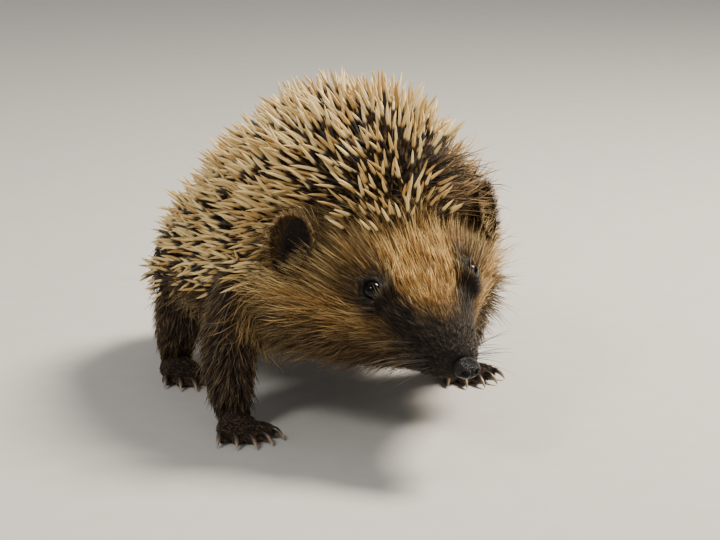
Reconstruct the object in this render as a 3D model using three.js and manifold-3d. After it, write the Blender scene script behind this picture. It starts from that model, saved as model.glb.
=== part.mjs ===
// A young European hedgehog, life size, standing on its four feet with its back hunched and its
// head lowered. Millimetres, +Z up. The animal faces -Y, its left side is at +X and its soles are
// at z = 0. Every solid reaches out to the tips of the coat that it carries.
import * as THREE from "three";
import { mergeVertices } from "three/addons/utils/BufferGeometryUtils.js";
import Module from "manifold-3d";

// ---------------------------------------------------------------- driving dimensions
const GAP = 0.3; // between neighbouring pieces
const FAR = 400; // larger than the animal, for the blocks that only cut

// The mantle is the quilled back. Its centreline falls from the forehead to the rump. A fullness
// under 1 blunts the ends, and a squareness under 1 squares the section.
const MANTLE = {
  halfWidth: 52.5,
  halfLength: 71,
  centreY: 0,
  frontZ: 69.5,
  rearZ: 27,
  rise: 50,
  drop: 34,
  fullness: 0.92,
  squareness: 1,
};
// The trunk is the furred flanks, chest and belly below the mantle.
const TRUNK = {
  halfWidth: 50,
  halfLength: 66,
  centreY: 1,
  frontZ: 47,
  rearZ: 45,
  rise: 30,
  drop: 28,
  fullness: 0.85,
  squareness: 0.85,
};
// Where the quills end, seen from the side: [y, z] from the forehead down to the rump.
const MANTLE_EDGE = [
  [-90, 72],
  [-62, 69],
  [-50, 63],
  [-41, 51],
  [-28, 42],
  [0, 36],
  [36, 31],
  [60, 25],
  [90, 14],
];
const NECK_END = -34; // y of the cut between neck and trunk

// The head has its own frame: the nose tip at the origin, +y backwards, +z up.
const HEAD = {
  noseTip: [-5.5, -105, 32.5],
  pitch: 18,
  roll: -4,
  yaw: -1,
  length: 96,
  faceLength: 61,
  tipRound: 2.2,
  rearRound: 12,
};
// [distance behind the nose tip, half width, height above the axis, depth below it]
const HEAD_SECTIONS = [
  [0, 3.2, 2.8, 3.2],
  [5, 5.4, 4.6, 6.0],
  [14, 9.6, 8.0, 10.6],
  [24, 14.4, 12.0, 14.4],
  [32, 20.0, 15.8, 17.0],
  [42, 27.0, 22.0, 21.0],
  [52, 32.0, 28.0, 25.0],
  [62, 34.5, 32.0, 28.0],
  [80, 35.0, 32.0, 28.0],
  [96, 33.0, 28.0, 24.0],
];
const NOSE = { width: 7.6, height: 6.4, length: 6.6, centre: [0, 2.4, 0.2] };
const NOSTRIL = { radius: 1.0, spread: 2.2, ahead: 0.9, up: 0.5 };
const MOUTH = { radius: 0.7, start: 4.5, corner: 19, startZ: -4.6, cornerZ: -9.0 };
const EYE = { radius: 2.6, offset: 15.0, behindNose: 33.0, up: 10.0 };
const SOCKET = { radius: 5.4, outwards: 5.4, ahead: 1.2, up: 1.0 };
const EAR = {
  width: 13.5,
  height: 19,
  thickness: 2.4,
  cup: 2.6,
  narrowing: 0.16,
  offset: 29.8,
  behindNose: 57,
  up: 14.5,
  turn: 45,
  lean: 20,
};
// The place round each ear where no quills grow: its centre and half sizes.
const EAR_HOLLOW = { offset: 33.4, behindNose: 53, up: 18.5, size: [13, 14, 15] };

// Legs: [x, y, z, radius] from the shoulder or hip down into the foot, on the left side.
const FORELEG = [
  [34, -20, 40, 13],
  [41.5, -22, 26, 10.2],
  [44.5, -27, 15, 8.6],
  [44.5, -29, 5, 7.6],
];
const HINDLEG = [
  [30, 34, 38, 16],
  [35, 30, 26, 11.5],
  [37, 36, 15, 9.0],
  [37, 40, 5, 7.6],
];
const ANKLE = 8.5; // height of the cut between leg and foot
const SHOULDER = 80; // no leg reaches this high
const FOREPAW = { length: 17, width: 14, height: 7, toe: 6.5, toeRadius: 2.3, claw: 5, spread: 34 };
const HINDPAW = { length: 24, width: 14, height: 7, toe: 6.5, toeRadius: 2.2, claw: 4.5, spread: 26 };
const TOES = 5;
// How far each foot stands behind its usual place, and its turn about the vertical.
const STANCE = {
  fore_left: { step: 22, turn: -2 },
  fore_right: { step: 0, turn: -6 },
  hind_left: { step: 8, turn: 10 },
  hind_right: { step: -4, turn: -8 },
};
// [x, y, z, radius] from the rump to the tip.
const TAIL = [
  [0, 58, 30, 4.2],
  [0, 68, 23, 3.4],
  [0, 73, 14, 1.5],
];

// ---------------------------------------------------------------- colours and finishes
const FINISHES = {
  mantle: [0x9a8560, 0.55],
  trunk: [0x5a4630, 0.85],
  neck: [0x6a5233, 0.85],
  head: [0x8a6b43, 0.85],
  nose: [0x141110, 0.3],
  ear: [0x2a201a, 0.75],
  eye: [0x050404, 0.08],
  foreleg: [0x33281f, 0.85],
  hindleg: [0x33281f, 0.85],
  forepaw: [0x3a2f2a, 0.7],
  hindpaw: [0x3a2f2a, 0.7],
  tail: [0x3a2c20, 0.85],
};

const { clamp, degToRad, lerp } = THREE.MathUtils;
const wasm = await Module();
wasm.setup();

// ---------------------------------------------------------------- solids
function volumeOf(geometry) {
  const { position } = geometry.attributes;
  const index = geometry.index.array;
  const [a, b, c] = [0, 1, 2].map(() => new THREE.Vector3());
  let sum = 0;
  for (let i = 0; i < index.length; i += 3) {
    a.fromBufferAttribute(position, index[i]);
    b.fromBufferAttribute(position, index[i + 1]);
    c.fromBufferAttribute(position, index[i + 2]);
    sum += a.dot(b.cross(c)) / 6;
  }
  return sum;
}

// The geometry with its vertices shared, facing outwards.
function closed(geometry) {
  const bare = geometry.clone();
  bare.deleteAttribute("normal");
  bare.deleteAttribute("uv");
  const merged = mergeVertices(bare, 1e-4);
  if (volumeOf(merged) < 0) {
    const index = merged.index.array;
    for (let i = 0; i < index.length; i += 3) {
      [index[i + 1], index[i + 2]] = [index[i + 2], index[i + 1]];
    }
  }
  return merged;
}

// The same closed surface, moved outwards by the gap.
function grown(geometry) {
  const out = closed(geometry);
  out.computeVertexNormals();
  const { position, normal } = out.attributes;
  const [at, outwards] = [new THREE.Vector3(), new THREE.Vector3()];
  for (let i = 0; i < position.count; i++) {
    at.fromBufferAttribute(position, i).addScaledVector(outwards.fromBufferAttribute(normal, i), GAP);
    position.setXYZ(i, at.x, at.y, at.z);
  }
  return out;
}

function solid(geometry) {
  const merged = closed(geometry);
  return new wasm.Manifold(
    new wasm.Mesh({
      numProp: 3,
      vertProperties: new Float32Array(merged.attributes.position.array),
      triVerts: new Uint32Array(merged.index.array),
    }),
  );
}

function geometryOf(manifold) {
  const mesh = manifold.getMesh();
  const geometry = new THREE.BufferGeometry();
  geometry.setAttribute("position", new THREE.BufferAttribute(new Float32Array(mesh.vertProperties), 3));
  geometry.setIndex(new THREE.BufferAttribute(new Uint32Array(mesh.triVerts), 1));
  return geometry;
}

// The largest body of a solid, so that a sliver cut off by a neighbour is dropped.
function largest(manifold) {
  return manifold.decompose().sort((a, b) => b.volume() - a.volume())[0];
}

const joined = (solids) => solids.reduce((sum, next) => sum.add(next));

// ---------------------------------------------------------------- shaping
// A sphere's grid of points, each carried to place(angle from the first pole, angle round it).
function wrapped(rings, around, place) {
  const geometry = new THREE.SphereGeometry(1, around, rings);
  const { position, uv } = geometry.attributes;
  for (let i = 0; i < position.count; i++) {
    const polar = clamp(1 - uv.getY(i), 0, 1) * Math.PI;
    const point = place(polar, Math.atan2(position.getZ(i), -position.getX(i)));
    position.setXYZ(i, point.x, point.y, point.z);
  }
  return geometry;
}

// A smooth function through rows of [place, value, value, ...], giving the values at a place.
function through(rows) {
  const slope = (row, column) => {
    const before = rows[Math.max(row - 1, 0)];
    const after = rows[Math.min(row + 1, rows.length - 1)];
    return (after[column] - before[column]) / (after[0] - before[0]);
  };
  return (place) => {
    const next = rows.findIndex((row, i) => i > 0 && (place <= row[0] || i === rows.length - 1));
    const [a, b] = [rows[next - 1], rows[next]];
    const span = b[0] - a[0];
    const t = clamp((place - a[0]) / span, 0, 1);
    const ease = t * t * (3 - 2 * t);
    return a.slice(1).map((value, i) => {
      const bend = t * (1 - t) ** 2 * slope(next - 1, i + 1) - t * t * (1 - t) * slope(next, i + 1);
      return lerp(value, b[i + 1], ease) + span * bend;
    });
  };
}

const signedPower = (value, power) => Math.sign(value) * Math.abs(value) ** power;

// 0 at an end, rising as a quarter circle to 1 at a distance from it.
const domed = (from, distance) => Math.sqrt(Math.max(0, 1 - (1 - Math.min(from / distance, 1)) ** 2));

// A long rounded body along Y.
function barrel(size, rings, around) {
  return wrapped(rings, around, (polar, angle) => {
    const girth = Math.max(Math.sin(polar), 0) ** size.fullness;
    const along = -Math.cos(polar);
    const side = signedPower(Math.cos(angle), size.squareness);
    const up = signedPower(Math.sin(angle), size.squareness);
    const middleZ = lerp(size.frontZ, size.rearZ, (along + 1) / 2);
    return new THREE.Vector3(
      size.halfWidth * girth * side,
      size.centreY + size.halfLength * along,
      middleZ + girth * up * (up > 0 ? size.rise : size.drop),
    );
  });
}

// A round tube along stops of [x, y, z, radius], with rounded ends.
function limb(stops, rings, around) {
  const path = new THREE.CatmullRomCurve3(stops.map(([x, y, z]) => new THREE.Vector3(x, y, z)));
  const radius = through(stops.map((stop, i) => [i / (stops.length - 1), stop[3]]));
  return wrapped(rings, around, (polar, angle) => {
    const share = (1 - Math.cos(polar)) / 2;
    const ahead = path.getTangent(share);
    const side = new THREE.Vector3(1, 0, 0).addScaledVector(ahead, -ahead.x).normalize();
    const front = new THREE.Vector3().crossVectors(ahead, side);
    const girth = radius(share)[0] * Math.sqrt(Math.max(Math.sin(polar), 0));
    return path
      .getPoint(share)
      .addScaledVector(side, girth * Math.cos(angle))
      .addScaledVector(front, girth * Math.sin(angle));
  });
}

// ---------------------------------------------------------------- blocks that cut
const headFrame = new THREE.Matrix4()
  .makeRotationFromEuler(
    new THREE.Euler(degToRad(HEAD.pitch), degToRad(HEAD.roll), degToRad(HEAD.yaw), "ZXY"),
  )
  .setPosition(...HEAD.noseTip);

// Everything under the edge of the quills, with that edge raised by a distance.
function belowMantle(raise) {
  const edge = new THREE.SplineCurve(MANTLE_EDGE.map(([y, z]) => new THREE.Vector2(y, z + raise)));
  const outline = new THREE.Shape([
    new THREE.Vector2(MANTLE_EDGE[0][0], -FAR),
    ...edge.getPoints(3 * MANTLE_EDGE.length),
    new THREE.Vector2(MANTLE_EDGE.at(-1)[0], -FAR),
  ]);
  const slab = new THREE.ExtrudeGeometry(outline, { depth: FAR, bevelEnabled: false });
  // The outline lies in the YZ plane and the depth runs along X.
  const [x, y, z] = [new THREE.Vector3(1, 0, 0), new THREE.Vector3(0, 1, 0), new THREE.Vector3(0, 0, 1)];
  return solid(slab.applyMatrix4(new THREE.Matrix4().makeBasis(y, z, x)).translate(-FAR / 2, 0, 0));
}

const block = () => new THREE.BoxGeometry(FAR, FAR, FAR);
const behindFace = (distance) =>
  solid(block().translate(0, distance + FAR / 2, 0).applyMatrix4(headFrame));
const behindNeck = (y) => solid(block().translate(0, y + FAR / 2, 0));
const layer = (low, high) =>
  solid(new THREE.BoxGeometry(FAR, FAR, high - low).translate(0, 0, (low + high) / 2));

// ---------------------------------------------------------------- head
function headForm() {
  const section = through(HEAD_SECTIONS);
  return wrapped(24, 22, (polar, angle) => {
    const behind = (HEAD.length * (1 - Math.cos(polar))) / 2;
    const [width, rise, drop] = section(behind);
    const girth = Math.min(domed(behind, HEAD.tipRound), domed(HEAD.length - behind, HEAD.rearRound));
    const up = Math.sin(angle);
    return new THREE.Vector3(width * girth * Math.cos(angle), behind, girth * up * (up > 0 ? rise : drop));
  }).applyMatrix4(headFrame);
}

const inHead = (geometry, x, y, z) => geometry.translate(x, y, z).applyMatrix4(headFrame);
const ball = (radius) => new THREE.SphereGeometry(radius, 12, 9);

function noseForm() {
  const pad = new THREE.SphereGeometry(0.5, 14, 10).scale(NOSE.width, NOSE.length, NOSE.height);
  return inHead(pad, ...NOSE.centre);
}

const nostril = (side) =>
  solid(inHead(ball(NOSTRIL.radius), side * NOSTRIL.spread, -NOSTRIL.ahead, NOSTRIL.up));

const eyeball = (side, radius) =>
  solid(inHead(ball(radius), side * EYE.offset, EYE.behindNose, EYE.up));

const socket = (side) =>
  solid(
    inHead(
      ball(SOCKET.radius),
      side * (EYE.offset + SOCKET.outwards),
      EYE.behindNose - SOCKET.ahead,
      EYE.up + SOCKET.up,
    ),
  );

// A narrow groove along each lip, from under the nose to the corner of the mouth.
function mouthLine(side) {
  const section = through(HEAD_SECTIONS);
  const steps = 5;
  const points = Array.from({ length: steps + 1 }, (_, i) => {
    const behind = lerp(MOUTH.start, MOUTH.corner, i / steps);
    const z = lerp(MOUTH.startZ, MOUTH.cornerZ, i / steps);
    const [width, , drop] = section(behind);
    const x = side * width * Math.sqrt(1 - (z / drop) ** 2);
    return new THREE.Vector3(x, behind, z).applyMatrix4(headFrame);
  });
  const outline = new THREE.Shape();
  outline.absarc(0, 0, MOUTH.radius, 0, Math.PI * 2);
  const extrudePath = new THREE.CatmullRomCurve3(points);
  return solid(new THREE.ExtrudeGeometry(outline, { extrudePath, steps, curveSegments: 2 }));
}

// A cupped shell, taller than wide and narrower at its root, open forwards and outwards.
function earForm(side) {
  const frame = new THREE.Matrix4()
    .makeRotationFromEuler(new THREE.Euler(degToRad(-EAR.lean), 0, degToRad(side * EAR.turn), "ZXY"))
    .setPosition(side * EAR.offset, EAR.behindNose, EAR.up);
  return wrapped(8, 16, (polar, angle) => {
    const rim = Math.sin(polar);
    const width = 1 - EAR.narrowing * Math.max(0, -Math.sin(angle));
    const shell = (EAR.thickness / 2) * Math.cos(polar) * Math.sqrt(1 - 0.8 * rim * rim);
    return new THREE.Vector3(
      (EAR.width / 2) * rim * width * Math.cos(angle),
      shell - EAR.cup * rim * rim,
      (EAR.height / 2) * rim * Math.sin(angle),
    );
  })
    .applyMatrix4(frame)
    .applyMatrix4(headFrame);
}

function earHollow(side) {
  const form = new THREE.SphereGeometry(1, 14, 10).scale(...EAR_HOLLOW.size);
  return solid(inHead(form, side * EAR_HOLLOW.offset, EAR_HOLLOW.behindNose, EAR_HOLLOW.up));
}

// ---------------------------------------------------------------- legs and feet
// A leg's stops on one side, each carried back by its share of the step.
function legStops(stops, side, step) {
  return stops.map(([x, y, z, radius], i) => [side * x, y + (step * i) / (stops.length - 1), z, radius]);
}

// A foot on the ground: a pad, five toes and their claws.
function footForm(size, heel, turn) {
  const { length, width, height, toe, toeRadius, claw } = size;
  const pad = new THREE.SphereGeometry(0.5, 10, 6)
    .scale(width, length, height * 2)
    .translate(0, -length * 0.3, height * 0.1);
  const parts = [pad];
  for (let i = 0; i < TOES; i++) {
    const share = (2 * i) / (TOES - 1) - 1;
    const spread = degToRad(share * size.spread);
    const rootX = share * (width / 2 - toeRadius);
    const rootY = -length * (0.66 - 0.16 * share * share);
    const at = (far, z, radius) => [
      rootX + Math.sin(spread) * far,
      rootY - Math.cos(spread) * far,
      z,
      radius,
    ];
    parts.push(
      limb([at(0, 2.6, toeRadius), at(toe * 0.6, 2.8, toeRadius), at(toe, 1.9, toeRadius * 0.9)], 4, 6),
      limb([at(toe * 0.7, 2.5, 1.2), at(toe + claw * 0.6, 2.0, 0.9), at(toe + claw, 0.8, 0.5)], 3, 4),
    );
  }
  const place = new THREE.Matrix4().makeRotationZ(degToRad(turn)).setPosition(heel[0], heel[1], 0);
  return joined(parts.map((part) => solid(part.applyMatrix4(place))));
}

// ---------------------------------------------------------------- the pieces, parted from each other
const sides = Object.entries({ left: 1, right: -1 });
const mantleForm = barrel(MANTLE, 24, 30);
const trunkForm = barrel(TRUNK, 18, 26);
const skullForm = headForm();

const quillFree = joined([belowMantle(0), earHollow(1), earHollow(-1)]);
const mantleRoom = solid(grown(mantleForm)).subtract(quillFree);
const skullRoom = solid(grown(skullForm));
const bodyRoom = joined([mantleRoom, solid(grown(trunkForm)), skullRoom]);

// Head, neck and trunk are one form, parted behind the ears and before the shoulders.
const flesh = solid(trunkForm).add(solid(skullForm)).subtract(mantleRoom);
const behindHead = flesh.intersect(behindFace(HEAD.faceLength + GAP));
const pieces = {
  mantle: solid(mantleForm).subtract(belowMantle(GAP)).subtract(quillFree),
  trunk: behindHead.intersect(behindNeck(NECK_END + GAP)),
  neck: behindHead.subtract(behindNeck(NECK_END)),
  nose: solid(noseForm()),
  tail: solid(limb(TAIL, 9, 10)).subtract(bodyRoom),
};

const faceHollows = [behindFace(HEAD.faceLength), solid(grown(noseForm()))];
for (const [name, side] of sides) {
  pieces.nose = pieces.nose.subtract(nostril(side));
  pieces["eye_" + name] = eyeball(side, EYE.radius);
  pieces["ear_" + name] = solid(earForm(side)).subtract(skullRoom).subtract(mantleRoom);
  faceHollows.push(eyeball(side, EYE.radius + GAP), socket(side), mouthLine(side));
}
pieces.head = flesh.subtract(joined(faceHollows));

const limbs = { fore: [FORELEG, FOREPAW], hind: [HINDLEG, HINDPAW] };
for (const [pair, [stops, paw]] of Object.entries(limbs)) {
  for (const [name, side] of sides) {
    const { step, turn } = STANCE[pair + "_" + name];
    const placed = legStops(stops, side, step);
    const leg = solid(limb(placed, 10, 12)).subtract(bodyRoom);
    pieces[pair + "leg_" + name] = leg.intersect(layer(ANKLE + GAP, SHOULDER));
    pieces[pair + "paw_" + name] = footForm(paw, placed.at(-1), turn).add(leg).intersect(layer(0, ANKLE));
  }
}

// ---------------------------------------------------------------- the scene
const animal = new THREE.Group();
for (const [name, piece] of Object.entries(pieces)) {
  const [color, roughness] = FINISHES[name.split("_")[0]];
  const mesh = new THREE.Mesh(
    geometryOf(largest(piece)),
    new THREE.MeshStandardMaterial({ color, roughness, metalness: 0 }),
  );
  mesh.name = name;
  animal.add(mesh);
}

// The origin is on the floor under the middle of the animal's box.
const box = new THREE.Box3().setFromObject(animal);
const middle = box.getCenter(new THREE.Vector3());
animal.position.set(-middle.x, -middle.y, -box.min.z);

export default animal;
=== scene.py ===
"""A young European hedgehog, life size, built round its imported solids.

One skin stands for all the solids of flesh. Quills and hair are closed meshes rooted in that skin
and follow the lie of the coat. Shapes are worked out in millimetres and stored in metres.
"""

import math
from contextlib import contextmanager

import bmesh
import bpy
import numpy as np
from bpy.props import FloatProperty, FloatVectorProperty, IntProperty, PointerProperty
from mathutils import Matrix, Vector
from mathutils.bvhtree import BVHTree
from mathutils.kdtree import KDTree


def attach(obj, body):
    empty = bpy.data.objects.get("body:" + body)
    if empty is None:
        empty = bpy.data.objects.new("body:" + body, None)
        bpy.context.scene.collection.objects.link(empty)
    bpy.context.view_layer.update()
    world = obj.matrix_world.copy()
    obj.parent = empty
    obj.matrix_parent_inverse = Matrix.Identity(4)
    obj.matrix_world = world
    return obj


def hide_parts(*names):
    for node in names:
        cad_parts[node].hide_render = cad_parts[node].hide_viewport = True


bl_info = {
    "name": "Hedgehog",
    "version": (1, 0, 0),
    "blender": (4, 5, 0),
    "location": "View3D > Sidebar > Hedgehog",
    "description": "Builds a life-size hedgehog with quills and fur round its packed solids",
    "category": "Object",
}

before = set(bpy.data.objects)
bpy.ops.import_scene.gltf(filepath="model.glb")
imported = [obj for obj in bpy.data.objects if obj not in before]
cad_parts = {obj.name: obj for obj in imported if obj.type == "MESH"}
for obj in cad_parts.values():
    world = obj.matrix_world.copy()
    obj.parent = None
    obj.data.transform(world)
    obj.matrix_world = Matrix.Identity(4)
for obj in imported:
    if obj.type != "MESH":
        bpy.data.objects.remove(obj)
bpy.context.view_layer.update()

MM = 0.001  # metres in a millimetre
SIDES = {"left": 1, "right": -1}
ROOT = "root"

# ---------------------------------------------------------------- the animal's frames and places
# The head's own frame: the nose tip at the origin, x to its left, y backwards, z up.
NOSE_TIP = np.array([-4.32, -88.72, 32.5])
HEAD_PITCH, HEAD_ROLL, HEAD_YAW = math.radians(18), math.radians(-4), math.radians(-1)
HEAD_AXES = np.array(
    Matrix.Rotation(HEAD_YAW, 3, "Z")
    @ Matrix.Rotation(HEAD_PITCH, 3, "X")
    @ Matrix.Rotation(HEAD_ROLL, 3, "Y")
)
EYE_PLACE = np.array([15.0, 33.0, 10.0])  # on the left, in the head's frame
EYE_AXIS = np.array([0.64, -0.42, 0.64])  # the way the left eye looks
EYE_RADIUS = 2.8
EYE_RISE = 0.35  # how far the eyeball's centre stands out past EYE_PLACE
EAR_PLACE = np.array([29.8, 57.0, 14.5])
EAR_TURN, EAR_LEAN = 45.0, 20.0
EAR_ROOT = np.array([24.5, 59.0, 8.0])  # the muscle that carries the left ear
EAR_ROOT_SIZE = np.array([6.0, 6.5, 8.0])
RUFF = np.array([37.0, 55.0, 2.0])  # the long hair below the left ear
NAPE = np.array([33.0, 66.0, 14.0])  # the long hair behind the left ear
CROWN = np.array([21.5, 56.5, 25.5])  # the tuft of fur behind and over the left ear
BELLY = np.array([1.2, 27.0, 41.5])  # fills the body out below the quills
BELLY_SIZE = np.array([40.0, 49.0, 19.5])
FOREHEAD = np.array([-3.0, -58.0, 58.0])  # where the quills spread from, on the floor's frame

# Heel and turn in degrees of each paw, on the floor's frame.
PAWS = {
    "fore_left": ((45.68, 9.28), -2),
    "fore_right": ((-43.32, -12.72), -6),
    "hind_left": ((38.18, 64.28), 10),
    "hind_right": ((-35.82, 52.28), -8),
}
PAW_SIZES = {
    "fore": {"length": 17, "width": 13, "toe": 6.5, "radius": 2.0, "claw": 5.5, "spread": 34},
    "hind": {"length": 24, "width": 13, "toe": 6.5, "radius": 1.9, "claw": 5.0, "spread": 26},
}
TOES = 5

# Stops of (x, y, z, radius) down the tail, and down each leg's flesh from the body into the paw.
TAIL = [
    (1.2, 66, 35, 3.6), (1.2, 73, 31, 3.4), (1.2, 79, 27, 2.9), (1.2, 85.5, 21, 2.0),
    (1.2, 88.8, 15.5, 0.9),
]
LEGS = {
    "fore_left": [
        (33, -3, 42, 9.5), (42.7, 1.6, 26, 7.7), (45.7, 4, 15, 6.3), (45.7, 9.0, 6, 5.4),
    ],
    "fore_right": [
        (-31, -4, 42, 9.5), (-40.3, -5.7, 26, 7.7), (-43.3, -10.7, 15, 6.3), (-43.3, -12.4, 6, 5.4),
    ],
    "hind_left": [
        (29, 50, 40, 13), (36.2, 49, 26, 9.2), (38.2, 57.6, 15, 6.5), (38.2, 64.0, 6, 5.4),
    ],
    "hind_right": [
        (-27, 50, 40, 13), (-33.8, 45, 26, 9.2), (-35.8, 49.6, 15, 6.5), (-35.8, 52.0, 6, 5.4),
    ],
}

OUTER_GRID, SKIN_GRID, PAW_GRID = 1.4, 1.35, 0.62  # cells of the remeshed surfaces

FLESH = {"mantle": ["mantle"], "flank": ["trunk", "neck"], "head": ["head"]}
REPLACED = [
    "mantle", "trunk", "neck", "head", "tail", "ear_left", "ear_right",
    "foreleg_left", "foreleg_right", "hindleg_left", "hindleg_right",
    "forepaw_left", "forepaw_right", "hindpaw_left", "hindpaw_right",
]


# ---------------------------------------------------------------- numbers
def smoothstep(low, high, value):
    share = np.clip((value - low) / (high - low), 0, 1)
    return share * share * (3 - 2 * share)


def bell(distance, width):
    return np.exp(-((distance / width) ** 2))


def mixed(a, b, share):
    return a + (b - a) * share


def unit(vectors):
    return vectors / np.maximum(np.linalg.norm(vectors, axis=-1, keepdims=True), 1e-9)


def table(places, values, where):
    return np.interp(where, places, values)


def to_head(points):
    return (points - NOSE_TIP) @ HEAD_AXES


def from_head(points):
    return points @ HEAD_AXES.T + NOSE_TIP


def mirrored(place, side):
    return np.asarray(place, float) * (side, 1, 1)


def pair_distance(at, place):
    """How far points are from the nearer of a place on the head and its mirror image."""
    return np.minimum(*(np.linalg.norm(at - mirrored(place, s), axis=1) for s in (1, -1)))


def linear(hexadecimal):
    """A screen colour such as 'c39a5e' as linear red, green and blue."""
    levels = [int(hexadecimal[i : i + 2], 16) / 255 for i in (0, 2, 4)]
    return tuple(x / 12.92 if x <= 0.04045 else ((x + 0.055) / 1.055) ** 2.4 for x in levels)


# ---------------------------------------------------------------- meshes
def read(collection, name, each=1, kind=float):
    """One property of all the items, as an array with a row for each."""
    flat = np.empty(len(collection) * each, kind)
    collection.foreach_get(name, flat)
    return flat.reshape(-1, each)


def points_of(mesh):
    return read(mesh.vertices, "co", 3) / MM


def place_points(mesh, points):
    mesh.vertices.foreach_set("co", (points * MM).ravel())
    mesh.update()


def mesh_of(name, points, corners, sizes):
    """A mesh from points in millimetres, its faces' corners in one row and each face's size."""
    mesh = bpy.data.meshes.new(name)
    mesh.vertices.add(len(points))
    mesh.loops.add(len(corners))
    mesh.polygons.add(len(sizes))
    mesh.vertices.foreach_set("co", (np.asarray(points, float) * MM).ravel())
    mesh.loops.foreach_set("vertex_index", np.asarray(corners, np.int32))
    starts = np.concatenate([[0], np.cumsum(sizes)[:-1]])
    mesh.polygons.foreach_set("loop_start", starts.astype(np.int32))
    mesh.polygons.foreach_set("use_smooth", np.ones(len(sizes), bool))
    mesh.update(calc_edges=True)
    return mesh


def grid_mesh(name, rings, pole_start, pole_end):
    """A closed mesh from rings of points, all of one size, and a point at each end."""
    count, around = len(rings), len(rings[0])
    points = np.vstack([np.reshape(rings, (-1, 3)), [pole_start], [pole_end]])
    here = np.arange(around)
    after = (here + 1) % around
    corners, sizes = [], []
    for ring in range(count - 1):
        low, high = ring * around, (ring + 1) * around
        corners.append(np.stack([low + here, low + after, high + after, high + here], 1).ravel())
        sizes += [4] * around
    last = (count - 1) * around
    start, end = count * around, count * around + 1
    corners.append(np.stack([after, here, np.full(around, start)], 1).ravel())
    corners.append(np.stack([last + here, last + after, np.full(around, end)], 1).ravel())
    sizes += [3] * (2 * around)
    return mesh_of(name, points, np.concatenate(corners), sizes)


@contextmanager
def editing(mesh, sources=None):
    """The mesh, or what the sources hold, opened for editing and written to the mesh at the end."""
    bm = bmesh.new()
    for source in [mesh] if sources is None else sources:
        bm.from_mesh(source)
    yield bm
    bm.to_mesh(mesh)
    bm.free()


def joined(name, meshes):
    """One mesh from several, which keep their own surfaces."""
    out = bpy.data.meshes.new(name)
    with editing(out, meshes):
        pass
    return out


def outwards(mesh):
    with editing(mesh) as bm:
        bmesh.ops.recalc_face_normals(bm, faces=bm.faces)
    return mesh


def linked(name, data):
    """A new object in the scene."""
    made = bpy.data.objects.new(name, data)
    bpy.context.scene.collection.objects.link(made)
    return made


def modified(mesh, kind, **settings):
    """The mesh after one modifier."""
    holder = linked("holder", mesh)
    modifier = holder.modifiers.new("step", kind)
    for name, value in settings.items():
        setattr(modifier, name, value)
    out = evaluated(holder)
    bpy.data.objects.remove(holder)
    return out


def evaluated(holder):
    graph = bpy.context.evaluated_depsgraph_get()
    graph.update()
    return bpy.data.meshes.new_from_object(holder.evaluated_get(graph), depsgraph=graph)


def remeshed(mesh, size):
    return modified(mesh, "REMESH", mode="VOXEL", voxel_size=size * MM, use_smooth_shade=True)


def united(mesh, others):
    """One closed surface round the mesh and the others."""
    for other in others:
        tool = linked("tool", other)
        mesh = modified(mesh, "BOOLEAN", operation="UNION", solver="MANIFOLD", object=tool)
        bpy.data.objects.remove(tool)
    return mesh


def piece(name, mesh, material, replaced=()):
    """A finished piece on the model's one body."""
    made = linked(name, mesh)
    mesh.name = name
    if material:
        mesh.materials.clear()
        mesh.materials.append(material)
    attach(made, ROOT)
    if replaced:
        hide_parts(*replaced)
    return made


def curve_points(stops, count):
    """Points and radii on a smooth curve through stops of (x, y, z, radius)."""
    stops = np.array(stops, float)
    padded = np.vstack([2 * stops[0] - stops[1], stops, 2 * stops[-1] - stops[-2]])
    where = np.linspace(0, len(stops) - 1, count)
    first = np.minimum(where.astype(int), len(stops) - 2)
    t = (where - first)[:, None]
    a, b, c, d = (padded[first + i] for i in range(4))
    found = 0.5 * (
        2 * b + (c - a) * t + (2 * a - 5 * b + 4 * c - d) * t**2 + (3 * b - a - 3 * c + d) * t**3
    )
    return found[:, :3], found[:, 3]


def tube(name, stops, count=12, around=12, blunt=0.6):
    """A closed round form along stops of (x, y, z, radius), with rounded ends."""
    points, radii = curve_points(stops, count)
    ahead = unit(np.gradient(points, axis=0))
    side = unit(np.cross(ahead, np.array([0.0, 0.31, 0.95])))
    up = np.cross(side, ahead)
    angles = np.linspace(0, 2 * math.pi, around, endpoint=False)
    rings = []
    for at, radius, s, u in zip(points, radii, side, up):
        circle = np.cos(angles)[:, None] * s + np.sin(angles)[:, None] * u
        rings.append(at + radius * circle)
    start = points[0] - ahead[0] * radii[0] * blunt
    end = points[-1] + ahead[-1] * radii[-1] * blunt
    return outwards(grid_mesh(name, rings, start, end))


def shell(name, place, rings, around):
    """A closed form from place(polar, angles) in the head's frame, from pole to pole."""
    angles = np.linspace(0, 2 * math.pi, around, endpoint=False)
    polar = np.linspace(0, math.pi, rings + 2)[1:-1]
    found = [from_head(place(np.full(around, p), angles)) for p in polar]
    ends = [from_head(place(np.array([p]), np.array([0.0]))[0]) for p in (1e-6, math.pi - 1e-6)]
    return outwards(grid_mesh(name, found, *ends))


def ball(name, centre, size, around=20, rings=12):
    """A closed ellipsoid."""
    polar = np.linspace(0, math.pi, rings + 2)[1:-1]
    angles = np.linspace(0, 2 * math.pi, around, endpoint=False)
    found = [
        np.stack([np.sin(p) * np.cos(angles), np.sin(p) * np.sin(angles), np.full(around, np.cos(p))], 1)
        * size + centre
        for p in polar
    ]
    top, bottom = np.array([0, 0, 1.0]) * size + centre, np.array([0, 0, -1.0]) * size + centre
    return outwards(grid_mesh(name, found, top, bottom))


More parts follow.
